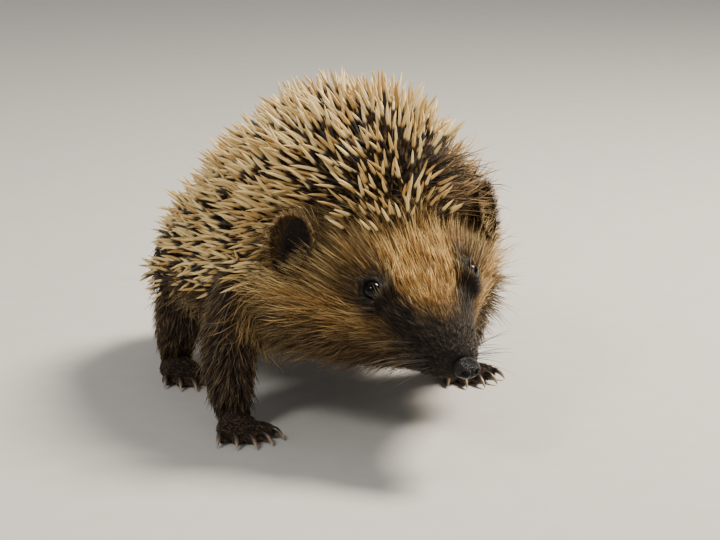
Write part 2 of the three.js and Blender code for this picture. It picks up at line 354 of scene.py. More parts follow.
class Surface:
    """A mesh as arrays: its points in millimetres, its triangles and its edges."""

    def __init__(self, mesh):
        self.mesh = mesh
        self.points = points_of(mesh)
        mesh.calc_loop_triangles()
        self.triangles = read(mesh.loop_triangles, "vertices", 3, np.int32)
        self.loops = read(mesh.loop_triangles, "loops", 3, np.int32)
        self.edges = read(mesh.edges, "vertices", 2, np.int32)
        self.degree = np.maximum(np.bincount(self.edges.ravel(), minlength=len(self.points)), 1)

    def crosses(self):
        a, b, c = (self.points[self.triangles[:, i]] for i in range(3))
        return np.cross(b - a, c - a)

    def areas(self):
        return np.linalg.norm(self.crosses(), axis=1) / 2

    def normals(self):
        crosses = self.crosses()
        total = np.zeros_like(self.points)
        for i in range(3):
            for axis in range(3):
                total[:, axis] += np.bincount(
                    self.triangles[:, i], crosses[:, axis], len(self.points)
                )
        return unit(total)

    def relaxed(self, values, rounds, strength=0.5):
        """Values at the points, each drawn towards the mean of its neighbours."""
        out = np.array(values, float)
        flat = out.reshape(len(out), -1)
        a, b = self.edges.T
        for _ in range(rounds):
            for column in range(flat.shape[1]):
                total = np.bincount(a, flat[b, column], len(flat))
                total += np.bincount(b, flat[a, column], len(flat))
                flat[:, column] += strength * (total / self.degree - flat[:, column])
        return out

    def store(self):
        place_points(self.mesh, self.points)
        return self.mesh


def tree_of(points):
    tree = KDTree(len(points))
    for i, point in enumerate(points.tolist()):
        tree.insert(point, i)
    tree.balance()
    return tree


def nearest(tree, points):
    """For each point, the number of the nearest one in the tree and how far off it is."""
    found = [tree.find(point) for point in points.tolist()]
    return np.array([f[1] for f in found]), np.array([f[2] for f in found])


# ---------------------------------------------------------------- the skin's shape
def swollen_copy(node, by):
    """A CAD node's surface with its corners shared and hollows filled, moved outwards."""
    out = bpy.data.meshes.new(node + "_copy")
    with editing(out, [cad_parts[node].data]) as bm:
        bmesh.ops.remove_doubles(bm, verts=bm.verts, dist=1e-6)
        if node != "head":
            hull = bmesh.ops.convex_hull(bm, input=bm.verts, use_existing_faces=False)
            inner = [item for item in hull["geom_interior"] if isinstance(item, bmesh.types.BMVert)]
            kept = {item for item in hull["geom"] if isinstance(item, bmesh.types.BMFace)}
            spare = [face for face in bm.faces if face not in kept]
            bmesh.ops.delete(bm, geom=spare, context="FACES_ONLY")
            bmesh.ops.delete(bm, geom=inner, context="VERTS")
        bm.normal_update()
        for vertex in bm.verts:
            vertex.co += vertex.normal * by * MM
    return out


def belonging(points):
    """How much each point belongs to the mantle, flank and head, as shares of 1."""
    distances = []
    for nodes in FLESH.values():
        source = Surface(joined("group", [swollen_copy(node, 0) for node in nodes]))
        tree = BVHTree.FromPolygons(source.points.tolist(), source.triangles.tolist())
        distances.append([tree.find_nearest(point)[3] for point in points.tolist()])
    distances = np.array(distances).T
    weights = np.exp(-(distances - distances.min(1, keepdims=True)) / 1.5)
    return weights / weights.sum(1, keepdims=True)


def coat_depth(points, shares, sizes):
    """How far the skin lies inside the coat's tips, in millimetres."""
    at = to_head(points)
    head = table([0, 8, 16, 26, 36, 48, 62], [0.5, 0.7, 0.9, 1.5, 2.3, 3.2, 4.4], at[:, 1])
    head = mixed(0.9, head, smoothstep(3, 9, pair_distance(at, EYE_PLACE)))
    head = mixed(np.minimum(head, 2.6), head, smoothstep(8, 15, pair_distance(at, EAR_PLACE)))
    mantle = sizes.mantle_depth / MM
    flank = mixed(sizes.flank_depth / MM, mantle - 1.0, smoothstep(-30, 35, points[:, 1]))
    return shares[:, 0] * mantle + shares[:, 1] * flank + shares[:, 2] * head


def body_form(sizes):
    """The body and legs without ears, paws and tail, sunk to the skin, and each point's belonging."""
    copies = [swollen_copy(node, 0.4) for nodes in FLESH.values() for node in nodes]
    outer = Surface(remeshed(joined("outer", copies), OUTER_GRID))
    outer.points = outer.relaxed(outer.points, 4)
    shares = outer.relaxed(belonging(outer.points), 8)
    upper = outer.relaxed((1 - shares[:, 2]) * smoothstep(24, 82, outer.points[:, 2]) ** 0.8, 40)
    off_middle = outer.points[:, 0] - BELLY[0]
    outer.points[:, 2] -= 0.0049 * upper * off_middle**2
    outer.points[:, 0] -= 0.17 * upper * off_middle
    depth = outer.relaxed(coat_depth(outer.points, shares, sizes), 30)
    steps = 10
    for _ in range(steps):
        outer.points -= outer.normals() * (depth / steps)[:, None]
        on_body = 1 - shares[:, 2:3]
        outer.points = mixed(outer.relaxed(outer.points, 1, 0.35), outer.relaxed(outer.points, 7), on_body)
    sunk = outer.points
    legs = [tube("leg", stops, 20, 20) for stops in LEGS.values()]
    filling = [ball("root", from_head(mirrored(EAR_ROOT, side)), EAR_ROOT_SIZE) for side in SIDES.values()]
    filling.append(ball("belly", BELLY, BELLY_SIZE))
    inner = Surface(remeshed(joined("inner", [outer.store(), *legs, *filling]), SKIN_GRID))
    inner.points = inner.relaxed(inner.points, 7)
    on_legs = np.zeros((sum(len(leg.vertices) for leg in legs), 3))
    places = np.vstack([sunk, *(points_of(leg) for leg in legs)])
    shares = np.vstack([shares, on_legs])
    return inner.store(), places, np.hstack([shares, 1 - shares.sum(1, keepdims=True)])


def refined(mesh, chosen):
    """The mesh with each face that chosen(centres in the head's frame) picks cut in four."""
    with editing(mesh) as bm:
        centres = np.array([face.calc_center_median() for face in bm.faces]) / MM
        picked = chosen(to_head(centres))
        edges = dict.fromkeys(edge for face, pick in zip(bm.faces, picked) if pick for edge in face.edges)
        bmesh.ops.subdivide_edges(bm, edges=list(edges), cuts=1, use_grid_fill=True)
        bmesh.ops.triangulate(bm, faces=[face for face in bm.faces if len(face.verts) > 4])
    surface = Surface(mesh)
    near = chosen(to_head(surface.points))[:, None]
    surface.points = np.where(near, surface.relaxed(surface.points, 3), surface.points)
    return surface.store()


def head_detail(at):
    return (at[:, 1] < 64) & (at[:, 1] > -5)


def face_detail(at):
    near_eye = pair_distance(at, EYE_PLACE) < 8
    return near_eye | ((at[:, 1] < 24) & (at[:, 1] > -5))


def eye_frame(side):
    """The eye's place, the way it looks, and the directions to its inner corner and its top."""
    axis = unit(mirrored(EYE_AXIS, side))
    inner = np.array([0, -1.0, -0.35])
    inner = unit(inner - axis * (inner @ axis))
    top = np.cross(inner, axis) * side
    return mirrored(EYE_PLACE, side), axis, inner, top * np.sign(top[2])


def eye_places(at, side):
    """Each point's height over the eye's centre, and its distance along and across the lids."""
    centre, axis, inner, top = eye_frame(side)
    offset = at - centre
    return offset @ axis, offset @ inner, offset @ top


def lids(at, side):
    """Raises two lids round an eye and hollows the skin behind it."""
    height, along, across = eye_places(at, side)
    _, axis, _, _ = eye_frame(side)
    stretch = np.where(along > 0, 1.35, 1.08)
    around = np.hypot(along / stretch, across / 0.94)
    on_ball = np.sqrt(np.maximum(EYE_RADIUS**2 - around**2, 0)) + EYE_RISE
    profile = table([2.2, 2.42, 2.75, 3.1, 3.6, 4.6], [0.4, 1.78, 2.05, 1.9, 1.35, 0.8], around)
    wanted = np.where(around < 2.25, on_ball - 1.2, profile)
    keep = smoothstep(3.0, 8.0, np.hypot(along, across))
    near = (height > -7) & (height < 7) & (around < 8)
    move = np.where(near, (1 - keep) * (wanted - height), 0)
    return at + move[:, None] * axis


def mouth_height(behind):
    return table([0, 2, 4.5, 19], [-5.6, -5.0, -4.6, -9.0], behind)


def face_form(at):
    """The muzzle, lips, brows and eye sockets, in the head's frame."""
    x, y, z = at.T
    normal = unit(np.stack([x, -0.35 * np.abs(x), z], 1))
    side = np.abs(x)
    pads = bell(np.hypot(np.hypot(side - 6.5, y - 10), z + 3), 4.5) * 0.7
    bridge = bell(side, 3.2) * smoothstep(8, 16, y) * (1 - smoothstep(26, 40, y)) * (z > 0) * 0.5
    brow = bell(np.hypot(np.hypot(side - 12, y - 36), z - 15), 5) * 0.9
    trough = bell(np.hypot(np.hypot(side - 10, y - 26), z - 7.5), 4) * -0.8
    cheek = bell(np.hypot(np.hypot(side - 24, y - 42), z + 4), 11) * 1.2
    above = z - mouth_height(y)
    mouth_on = smoothstep(21, 17, y) * (z < 0)
    groove = -0.75 * bell(above, 0.42) + 0.28 * bell(above - 1.1, 0.7) + 0.25 * bell(above + 1.1, 0.7)
    philtrum = -0.4 * bell(x, 0.45) * (z < -2) * (z > -6) * smoothstep(5, 2, y)
    out = at + normal * (pads + bridge + brow + trough + cheek + groove * mouth_on + philtrum)[:, None]
    jaw = smoothstep(0, 1.2, -above) * mouth_on * smoothstep(14, 3, y)
    out[:, 1] += 1.9 * jaw
    out[:, 0] *= 1 - 0.1 * jaw
    for sign in SIDES.values():
        out = lids(out, sign)
    return out


def ear_axes(side):
    turn = Matrix.Rotation(math.radians(side * EAR_TURN), 3, "Z")
    return np.array(turn @ Matrix.Rotation(math.radians(-EAR_LEAN), 3, "X"))


def ear_form(side):
    """A cupped conch with a rolled rim, open forwards and outwards."""
    axes = ear_axes(side)

    def place(p, a):
        rim, facing = np.sin(p), np.cos(p)
        width = 1 - 0.16 * np.maximum(0, -np.sin(a))
        wave = 1 + 0.015 * np.sin(3 * a + 1) + 0.01 * np.sin(7 * a)
        shell = 0.75 * facing * np.sqrt(np.maximum(1 - 0.75 * rim * rim, 0))
        roll = 0.7 * smoothstep(0.86, 1.0, rim) * (facing < 0.2)
        bowl = 1.6 * bell(np.hypot(rim * np.cos(a), rim * np.sin(a) + 0.35), 0.45)
        fold = 0.35 * bell(rim * np.cos(a) + 0.35, 0.12) * (facing < 0) * smoothstep(0.95, 0.6, rim)
        x = 6.3 * rim * width * wave * np.cos(a)
        y = shell - 3.0 * rim * rim - roll + bowl - fold
        z = 8.9 * rim * wave * np.sin(a)
        return np.stack([x, y, z], -1) @ axes.T + mirrored(EAR_PLACE, side)

    return shell("ear", place, 40, 56)


def on_floor(name, points):
    """Points of a paw's own frame, placed at its heel."""
    (x, y), turn = PAWS[name]
    c, s = math.cos(math.radians(turn)), math.sin(math.radians(turn))
    points = np.atleast_2d(points)
    turned = np.stack([c * points[:, 0] - s * points[:, 1], s * points[:, 0] + c * points[:, 1]], 1)
    return np.hstack([turned + (x, y), points[:, 2:]])


def toe_lines(name):
    """For each toe: its root's place, the way it points and its size."""
    size = PAW_SIZES[name.split("_")[0]]
    for i in range(TOES):
        share = 2 * i / (TOES - 1) - 1
        spread = math.radians(share * size["spread"])
        across = share * (size["width"] / 2 - size["radius"])
        root = np.array([across, -size["length"] * (0.66 - 0.16 * share**2)])
        yield root, np.array([math.sin(spread), -math.cos(spread)]), size


def along_toe(name, root, ahead, stops):
    """Stops of (distance, height, radius) along a toe, on the floor's frame."""
    flat = np.array([[*(root + ahead * far), height] for far, height, _ in stops])
    return [(*point, stop[2]) for point, stop in zip(on_floor(name, flat), stops)]


def paw_form(name):
    """A paw with its toes and pads, flat on the floor, and an ankle that meets the leg."""
    size = PAW_SIZES[name.split("_")[0]]
    length, width, radius, toe = (size[key] for key in ("length", "width", "radius", "toe"))
    parts = []
    centre = on_floor(name, [[0, -length * 0.3, 0.8]])[0]
    parts.append(ball("pad", centre, np.array([width / 2 - 0.4, length / 2 - 0.6, 5.4]), 24, 14))
    parts.append(ball("heel", on_floor(name, [[0, -0.2, 4.6]])[0], np.array([5.0, 5.0, 4.6]), 20, 12))
    for root, ahead, _ in toe_lines(name):
        stops = [
            (-3, 2.6, radius * 0.9), (0, 2.5, radius * 0.95), (toe * 0.55, 2.5, radius),
            (toe, 1.9, radius * 0.85),
        ]
        parts.append(tube("toe", along_toe(name, root, ahead, stops), 12, 12))
        bulb = on_floor(name, [[*(root + ahead * toe * 0.75), 1.15]])[0]
        parts.append(ball("bulb", bulb, np.array([1.5, 1.7, 1.3]), 12, 8))
        knuckle = on_floor(name, [[*(root + ahead * 0.6), 1.1]])[0]
        parts.append(ball("knuckle", knuckle, np.array([1.5, 1.5, 1.25]), 12, 8))
    surface = Surface(remeshed(joined("paw", parts), PAW_GRID))
    surface.points = surface.relaxed(surface.points, 3)
    flat = np.maximum(surface.points[:, 2], 0.0)
    surface.points[:, 2] = flat
    return surface.store()


def skin_mesh(sizes):
    """The whole skin as one closed surface, with what each of its points belongs to."""
    mesh, sunk, shares = body_form(sizes)
    mesh = refined(refined(mesh, head_detail), face_detail)
    surface = Surface(mesh)
    at = to_head(surface.points)
    on_face = (shares_near(sunk, shares, surface.points)[:, 2] > 0.2) & (at[:, 1] < 64)
    surface.points = np.where(on_face[:, None], from_head(face_form(at)), surface.points)
    ears = [ear_form(side) for side in SIDES.values()]
    paws = [paw_form(name) for name in PAWS]
    tail = tube("tail", TAIL, 18, 14)
    mesh = united(surface.store(), ears + paws + [tail])
    mesh = modified(mesh, "TRIANGULATE")
    skin = Surface(mesh)
    parts = {"ear": joined("ears", ears), "paw": joined("paws", paws), "tail": tail}
    found = {"shares": shares_near(sunk, shares, skin.points)}
    for name, part in parts.items():
        _, away = nearest(tree_of(points_of(part)), skin.points)
        found[name] = skin.relaxed((away < 0.02).astype(float), 3)
    return skin, found


def shares_near(sunk, shares, points):
    return shares[nearest(tree_of(sunk), points)[0]]


# ---------------------------------------------------------------- the lie and marks of the coat
def tangent(vectors, normals):
    return unit(vectors - normals * (vectors * normals).sum(1, keepdims=True))


def head_lie(at):
    """Which way hair lies on the head, in its own frame: back from the nose and round the eyes."""
    lie = unit(at - np.array([0, -4.0, 1.0]))
    lie[:, 2] -= 0.3 * smoothstep(4, -10, at[:, 2])
    for side in SIDES.values():
        away = at - mirrored(EYE_PLACE, side)
        far = np.linalg.norm(away, axis=1)
        lie += unit(away) * (0.9 * bell(far, 6.5))[:, None]
    return lie


# Hair's length in millimetres over each area, and on the face by the distance behind the nose.
HAIR_LENGTHS = {
    "body": 18.0, "below": 13.0, "quilled": 7.0, "ruff": 19, "tail": 4.0, "ear": 3.0, "paw": 2.2,
    "hollow": 2.0,
}
FACE_LENGTHS = ([0, 6, 14, 24, 34, 45, 60], [1.0, 1.6, 3.0, 6.5, 10.0, 12.5, 13.5])


class Coat:
    """Over the skin's points: which way hair lies, how long it is, and what colours it has."""

    def __init__(self, skin, found):
        self.skin = skin
        points, normals = skin.points, skin.normals()
        at = to_head(points)
        mantle, flank, head, leg = (found["shares"][:, i] for i in range(4))
        ear, paw, tail = (found[name] for name in ("ear", "paw", "tail"))
        self.normals, self.at = normals, at
        self.ear, self.paw, self.tail, self.leg = ear, paw, tail, leg
        self.bare = np.clip(ear + paw + tail, 0, 1)
        self.head = head * (1 - self.bare)
        eyes, ears, self.crown = (pair_distance(at, place) for place in (EYE_PLACE, EAR_PLACE, CROWN))
        peak = 0.35 * bell(np.hypot((at[:, 0] + 2) / 9, (at[:, 1] - 45) / 5), 1) * (at[:, 2] > 5)
        quilled = smoothstep(0.40, 0.62, mantle + peak) * (1 - self.bare) * smoothstep(11, 14.5, ears)
        quilled *= smoothstep(10.5, 13.0, self.crown)
        self.quilled = skin.relaxed(quilled * smoothstep(-0.8, -0.45, normals[:, 2]), 2)
        self.lie = self.lie_of_hair(points, normals, at, head, leg, mantle)
        self.quill_lie = tangent(points - FOREHEAD + np.array([0, 6.0, -4.0]), normals)
        self.lengths(points, normals, at, eyes, ears, head, leg)
        self.colours(points, normals, at, eyes, head, leg, ears)
        self.tree = tree_of(points)
        self.uv = read(skin.mesh.uv_layers["OFBake"].uv, "vector", 2)[skin.loops]

    def ruff(self, at):
        """Where long hair stands out: pale below the ears, partly its own paler hair and partly a painted
        rim highlight, and brown behind them.
        """
        folded = np.abs(at) * (1, 1, 0) + at * (0, 0, 1)
        below, behind = (np.linalg.norm(folded - place, axis=1) for place in (RUFF, NAPE))
        return bell(below, 12), bell(behind, 8)

    def lie_of_hair(self, points, normals, at, head, leg, mantle):
        body = np.tile([0.0, 1.0, -0.5], (len(points), 1))
        under = smoothstep(-0.3, -0.8, normals[:, 2])[:, None]
        body = mixed(body, np.array([0.0, 1.0, 0.0]), under)
        down = np.tile([0.0, 0.35, -1.0], (len(points), 1))
        lie = body * (1 - head - leg)[:, None] + head_lie(at) @ HEAD_AXES.T * head[:, None]
        lie += down * leg[:, None]
        to_toes = np.tile([0.0, -1.0, -0.25], (len(points), 1))
        lie = mixed(lie, to_toes, self.paw[:, None] * smoothstep(9, 4, points[:, 2])[:, None])
        side = np.sign(at[:, :1])
        from_root = (at - np.hstack([side * EAR_ROOT[0], np.tile(EAR_ROOT[1:], (len(at), 1))])) @ HEAD_AXES.T
        lie = mixed(lie, unit(from_root), self.ear[:, None])
        lie = mixed(lie, np.array([0.0, 0.5, -1.0]), self.tail[:, None])
        lie = tangent(lie, normals)
        for _ in range(3):
            lie = tangent(self.skin.relaxed(lie, 3), normals)
        return lie

    def lengths(self, points, normals, at, eyes, ears, head, leg):
        """Hair's length and width in millimetres, its lift in degrees and its number to a square one."""
        behind = at[:, 1]
        face = table(*FACE_LENGTHS, behind)
        face *= mixed(0.3, 1.0, smoothstep(3.2, 7.5, eyes)) * mixed(0.4, 1.0, smoothstep(8, 14.5, ears))
        jaw = smoothstep(-4, -14, at[:, 2]) * smoothstep(16, 34, behind)
        face *= 1 + 0.3 * jaw
        below = smoothstep(-0.35, -0.8, normals[:, 2])
        body = mixed(HAIR_LENGTHS["body"], HAIR_LENGTHS["below"], below)
        low = table([4, 12, 30], [3.0, 5.5, 8.5], points[:, 2])
        ruff = np.maximum(*self.ruff(at))
        face = mixed(face, np.maximum(face, HAIR_LENGTHS["ruff"]), ruff)
        body = mixed(body, HAIR_LENGTHS["quilled"], self.quilled * (1 - ruff))
        length = face * head + body * (1 - head - leg) + low * leg
        for area in ("paw", "ear", "tail"):
            length = mixed(length, HAIR_LENGTHS[area], getattr(self, area))
        self.length = length
        self.width = table([0, 2, 5, 9, 13, 20], [0.10, 0.12, 0.17, 0.23, 0.30, 0.38], self.length)
        fine = table([0, 14, 24, 34, 60], [0.10, 0.12, 0.135, 0.155, 0.21], behind)
        self.width = mixed(self.width * (1 + 0.5 * leg), fine, self.head)
        crown = head * smoothstep(36, 48, behind) * smoothstep(5, 14, at[:, 2])
        side = smoothstep(14, 30, np.abs(at[:, 0])) * smoothstep(30, 44, behind) * head
        lift = 19 - 9 * head + 7 * crown + 15 * smoothstep(20, 6, behind) * head - 3 * leg + 6 * below
        lift += 14 * jaw * head + 14 * side + 9 * (1 - head) * (1 - leg)
        lift += 33 * ruff
        self.lift = np.radians(mixed(lift, 30, self.ear))
        density = table([0, 2, 4, 8, 12, 20], [11.0, 9.0, 6.6, 4.4, 2.9, 2.4], self.length)
        density = mixed(density, density * 0.32, below * (1 - head) * (1 - leg))
        on_head = table([0, 14, 24, 34, 45, 60], [10, 9, 6.2, 4.8, 4.0, 3.6], behind)
        density = mixed(density, on_head, self.head)
        density *= 1 - 0.6 * leg
        density = mixed(density, 2.2, self.paw)
        density = mixed(density, 5.5, self.ear)
        density *= 1 - 0.87 * self.quilled
        sole = smoothstep(-0.1, -0.5, normals[:, 2]) * self.paw
        mouth = bell(at[:, 2] - mouth_height(behind), 0.5) * (behind < 20) * (behind > 0)
        clear = smoothstep(2.7, 3.3, eyes) * (1 - sole) * (1 - mouth)
        nose = np.linalg.norm((at - np.array([0, 2.2, 0.2])) / np.array([3.9, 3.4, 3.3]), axis=1)
        self.density = density * clear * smoothstep(1.0, 1.12, nose)

    def colours(self, points, normals, at, eyes, head, leg, ears):
        """The marks that skin and hair share, each from 0 to 1, and the hair's changes round the ears. The
        marks hold painted shade among the quills and in and below the ears' hollows, and partly a painted
        rim highlight on the outer cheeks.
        """
        x, y, z = np.abs(at[:, 0]), at[:, 1], at[:, 2]
        upper = smoothstep(-2, 5, z)
        edge = mixed(12 + 0.6 * x, 15 + 0.75 * x, upper)
        soft = mixed(7.5, 4.8, upper)
        muzzle = smoothstep(1.0, -1.0, (y - edge) / soft)
        muzzle += 0.7 * smoothstep(-7, -11, z) * smoothstep(38, 24, y)
        muzzle += 0.5 * smoothstep(-3, -9, z)
        along = np.clip(((33 - y) / 11), 0, 1)
        streak = np.linalg.norm(
            np.stack([x - (15 - 5 * along), y - (33 - 11 * along), z - (10 - 4 * along)], 1), axis=1
        )
        ring = smoothstep(5.4, 3.9, eyes)
        dark = np.clip(muzzle + 0.85 * smoothstep(5.2, 2.6, streak) + ring, 0, 1) * head
        turn = np.sign(at[:, :1])
        opening = mixed(ear_axes(-1) @ (0, -1, 0), ear_axes(1) @ (0, -1, 0), turn > 0)
        from_ear = at - EAR_PLACE * np.hstack([turn, abs(turn), abs(turn)])
        ahead = (from_ear * opening).sum(1)
        placed = np.where(turn > 0, from_ear @ ear_axes(1), from_ear @ ear_axes(-1))
        rim = np.hypot((turn[:, 0] * placed[:, 0] / 6.3 + 0.2) / 0.78, placed[:, 2] / 8.9)
        facing = (normals @ HEAD_AXES * opening).sum(1)
        # hollow is the ear's inner face and the skin in front of and below it; its near-black colour is
        # painted shade in the cup.
        hollow = self.ear * smoothstep(0.0, 0.5, facing) * smoothstep(1.0, 0.86, rim)
        outline = np.hypot(placed[:, 0] / 6.0, (placed[:, 2] + 2.5) / 11)
        in_cup = smoothstep(1.1, 0.95, outline) * smoothstep(2.2, 0.6, ahead) * (ahead > -5)
        in_cup = in_cup * (1 - self.ear)
        hollow = np.maximum(hollow, in_cup)
        dark *= 1 - hollow
        fan = 4 + 0.5 * (y - 14)
        forehead = smoothstep(4.5, -3.0, x - fan) * smoothstep(1, 6, z) * smoothstep(62, 28, y)
        band = bell(z - 1.7 + 0.1 * (y - 36), 4.4) * smoothstep(22, 30, y) * smoothstep(64, 48, y)
        # Gold on the outer sides of the head and below the ears is partly their paler hair and partly a
        # painted rim highlight.
        ruff = 0.6 * smoothstep(24, 31, x) * smoothstep(34, 44, y)
        gold = np.clip(forehead + 0.7 * band + ruff, 0, 1) * head * (1 - dark)
        gold = np.maximum(gold, 0.75 * self.ruff(at)[0] * (1 - self.bare))
        olive = bell(np.hypot((y - 44) / 8, (z - 11) / 7), 1) * head * (1 - gold) * (1 - dark)
        below = smoothstep(-0.35, -0.8, normals[:, 2]) * (1 - head) * (1 - leg)
        limbs = np.clip(leg + self.paw + self.tail, 0, 1)
        self.marks = self.skin.relaxed(np.stack([gold, dark, olive], 1), 1)
        # Dark brown: the ears' own fur and the crown's, plus painted shade on the fur among the quills and
        # in the ears' hollows.
        dark_brown_and_painted_shade = np.maximum(0.9 * self.quilled, 0.5 * bell(self.crown, 10))
        dark_brown_and_painted_shade = np.maximum(np.maximum(0.55 * self.ear, hollow), dark_brown_and_painted_shade)
        self.more = self.skin.relaxed(np.stack([limbs, below, dark_brown_and_painted_shade], 1), 1)
        self.density *= 1 - 0.5 * hollow
        self.length = mixed(self.length, HAIR_LENGTHS["hollow"], hollow)
        self.width = mixed(self.width, 0.13, hollow)
        fringe = bell(ears - 9.5, 3.5) * smoothstep(-1, 2.0, ahead) * (1 - self.ear) * (1 - hollow)
        self.lift += np.radians(12) * fringe
        self.length *= 1 - 0.35 * fringe * smoothstep(3.0, -3.0, placed[:, 2])
        lid = smoothstep(4.0, 3.2, eyes)
        lips = bell(z - mouth_height(y), 1.0) * smoothstep(21, 18, y) * (y > 0)
        pads = self.paw * smoothstep(0.1, -0.5, normals[:, 2])
        # The first naked share is the eyelids, whose skin is dark, and, as painted shade, the ears' hollows.
        self.naked = np.stack([np.maximum(lid, 0.75 * hollow), lips, pads], 1)
        around_ears = smoothstep(20, 9, ears)
        self.quill_size = mixed(0.72, 1.0, smoothstep(0.0, 34.0, points[:, 1] + 50))
        self.quill_size = self.quill_size * (1 - 0.2 * around_ears)
        low = mixed(0.74, 1.0, smoothstep(34, 58, points[:, 2]))
        self.quill_size *= low * mixed(0.74, 1.0, self.quilled)

    def store(self):
        """Puts on the skin's mesh what its material and the quills read."""
        _, y, z = self.skin.points.T
        # front is the upper front of the mantle: its quills stand a little higher, and their longer cream
        # band is a painted highlight from above.
        front = smoothstep(20, -25, y) * smoothstep(45, 70, z)
        turned = np.radians(mixed(28.0, 42.0, smoothstep(32, 66, z)) + 4 * front)[:, None]
        direction = self.quill_lie * np.cos(turned) + self.normals * np.sin(turned)
        vectors = {"marks": self.marks, "more": self.more, "naked": self.naked, "quill_lie": direction}
        for name, values in vectors.items():
            store_vectors(self.skin.mesh, name, values)
        for name, values in {"quilled": self.quilled, "quill_size": self.quill_size, "front": front}.items():
            layer = self.skin.mesh.attributes.new(name, "FLOAT", "POINT")
            layer.data.foreach_set("value", values.astype(np.float32))


def store_vectors(mesh, name, values):
    layer = mesh.attributes.new(name, "FLOAT_VECTOR", "POINT")
    layer.data.foreach_set("vector", values.astype(np.float32).ravel())


def store_bake_map(mesh, uv):
    layer = mesh.uv_layers.new(name="OFBake")
    layer.uv.foreach_set("vector", uv.astype(np.float32).ravel())


# ---------------------------------------------------------------- tufts
PATCH = 0.003  # width of a tuft's patch on the bake's map
GUARDS = 0.14  # share of long pale hairs that lie over the rest


class Roots:
    """Random places on chosen faces of the skin, thicker where the coat is."""

    def __init__(self, coat, chosen, thickness, seed):
        skin = coat.skin
        faces = np.flatnonzero(chosen)
        corners = skin.triangles[faces]
        share = skin.areas()[faces] * coat.density[corners].mean(1) * thickness
        self.rng = np.random.default_rng(seed)
        self.count = int(round(share.sum()))
        picked = self.rng.choice(len(faces), self.count, p=share / share.sum())
        a, b = self.rng.random((2, self.count))
        over = a + b > 1
        a, b = np.where(over, 1 - a, a), np.where(over, 1 - b, b)
        self.weights = np.stack([1 - a - b, a, b], 1)
        self.corners = corners[picked]
        self.uv = (coat.uv[faces[picked]] * self.weights[:, :, None]).sum(1)
        self.guard = (self.rng.random(self.count) < GUARDS) & (self.of(coat.length) > 5)

    def of(self, values):
        """Values of the skin's points, carried to the roots."""
        weights = self.weights.reshape(self.count, 3, *[1] * (values.ndim - 1))
        return (values[self.corners] * weights).sum(1)


def grown(coat, roots, segments, looseness):
    """Each tuft's line from its root, lying along the skin and drawn towards its neighbours."""
    rng, count = roots.rng, roots.count
    normal, lie = unit(roots.of(coat.normals)), unit(roots.of(coat.lie))
    at = roots.of(coat.skin.points) - 0.25 * normal
    start = at.copy()
    length = roots.of(coat.length) * rng.uniform(0.7, 1.18, count) * (1 + 0.3 * roots.guard)
    lift = roots.of(coat.lift) * rng.uniform(0.6, 1.4, count) + np.radians(8) * roots.guard
    waves = np.sin(start @ np.array([[0.31, 0.12], [0.17, -0.36], [-0.24, 0.29]])).sum(1)
    heading = rng.normal(0, looseness, count) + 0.05 * waves
    bend = rng.normal(0, looseness, count)
    on_ear = roots.of(coat.ear)
    lines = [at]
    for step in range(segments):
        share = (step + 0.5) / segments
        across = np.cross(normal, lie)
        angle = heading + bend * share
        along = lie * np.cos(angle)[:, None] + across * np.sin(angle)[:, None]
        rise = (lift * mixed(1.25, 0.55, share))[:, None]
        at = at + (along * np.cos(rise) + normal * np.sin(rise)) * (length / segments)[:, None]
        lines.append(at)
        if step < segments - 1:
            close, _ = nearest(coat.tree, at)
            same = 1 - np.abs(coat.ear[close] - on_ear)[:, None]
            normal = unit(mixed(normal, coat.normals[close], 0.7 * same))
            lie = unit(mixed(lie, coat.lie[close], 0.6 * same))
    lines = np.stack(lines, 1)
    guides = rng.choice(count, max(count // 5, 1), replace=False)
    close, away = nearest(tree_of(start[guides]), start)
    held = (away < 0.4 * length) * (1 - 0.75 * roots.guard)
    pull = 0.72 * held[:, None, None] * (np.linspace(0, 1, segments + 1) ** 1.4)[:, None]
    leader = lines[guides[close]]
    lines = mixed(lines, leader + 0.3 * (lines - leader), pull)
    lines[:, :, 2] = np.maximum(lines[:, :, 2], 0.3)
    return lines, guides[close]


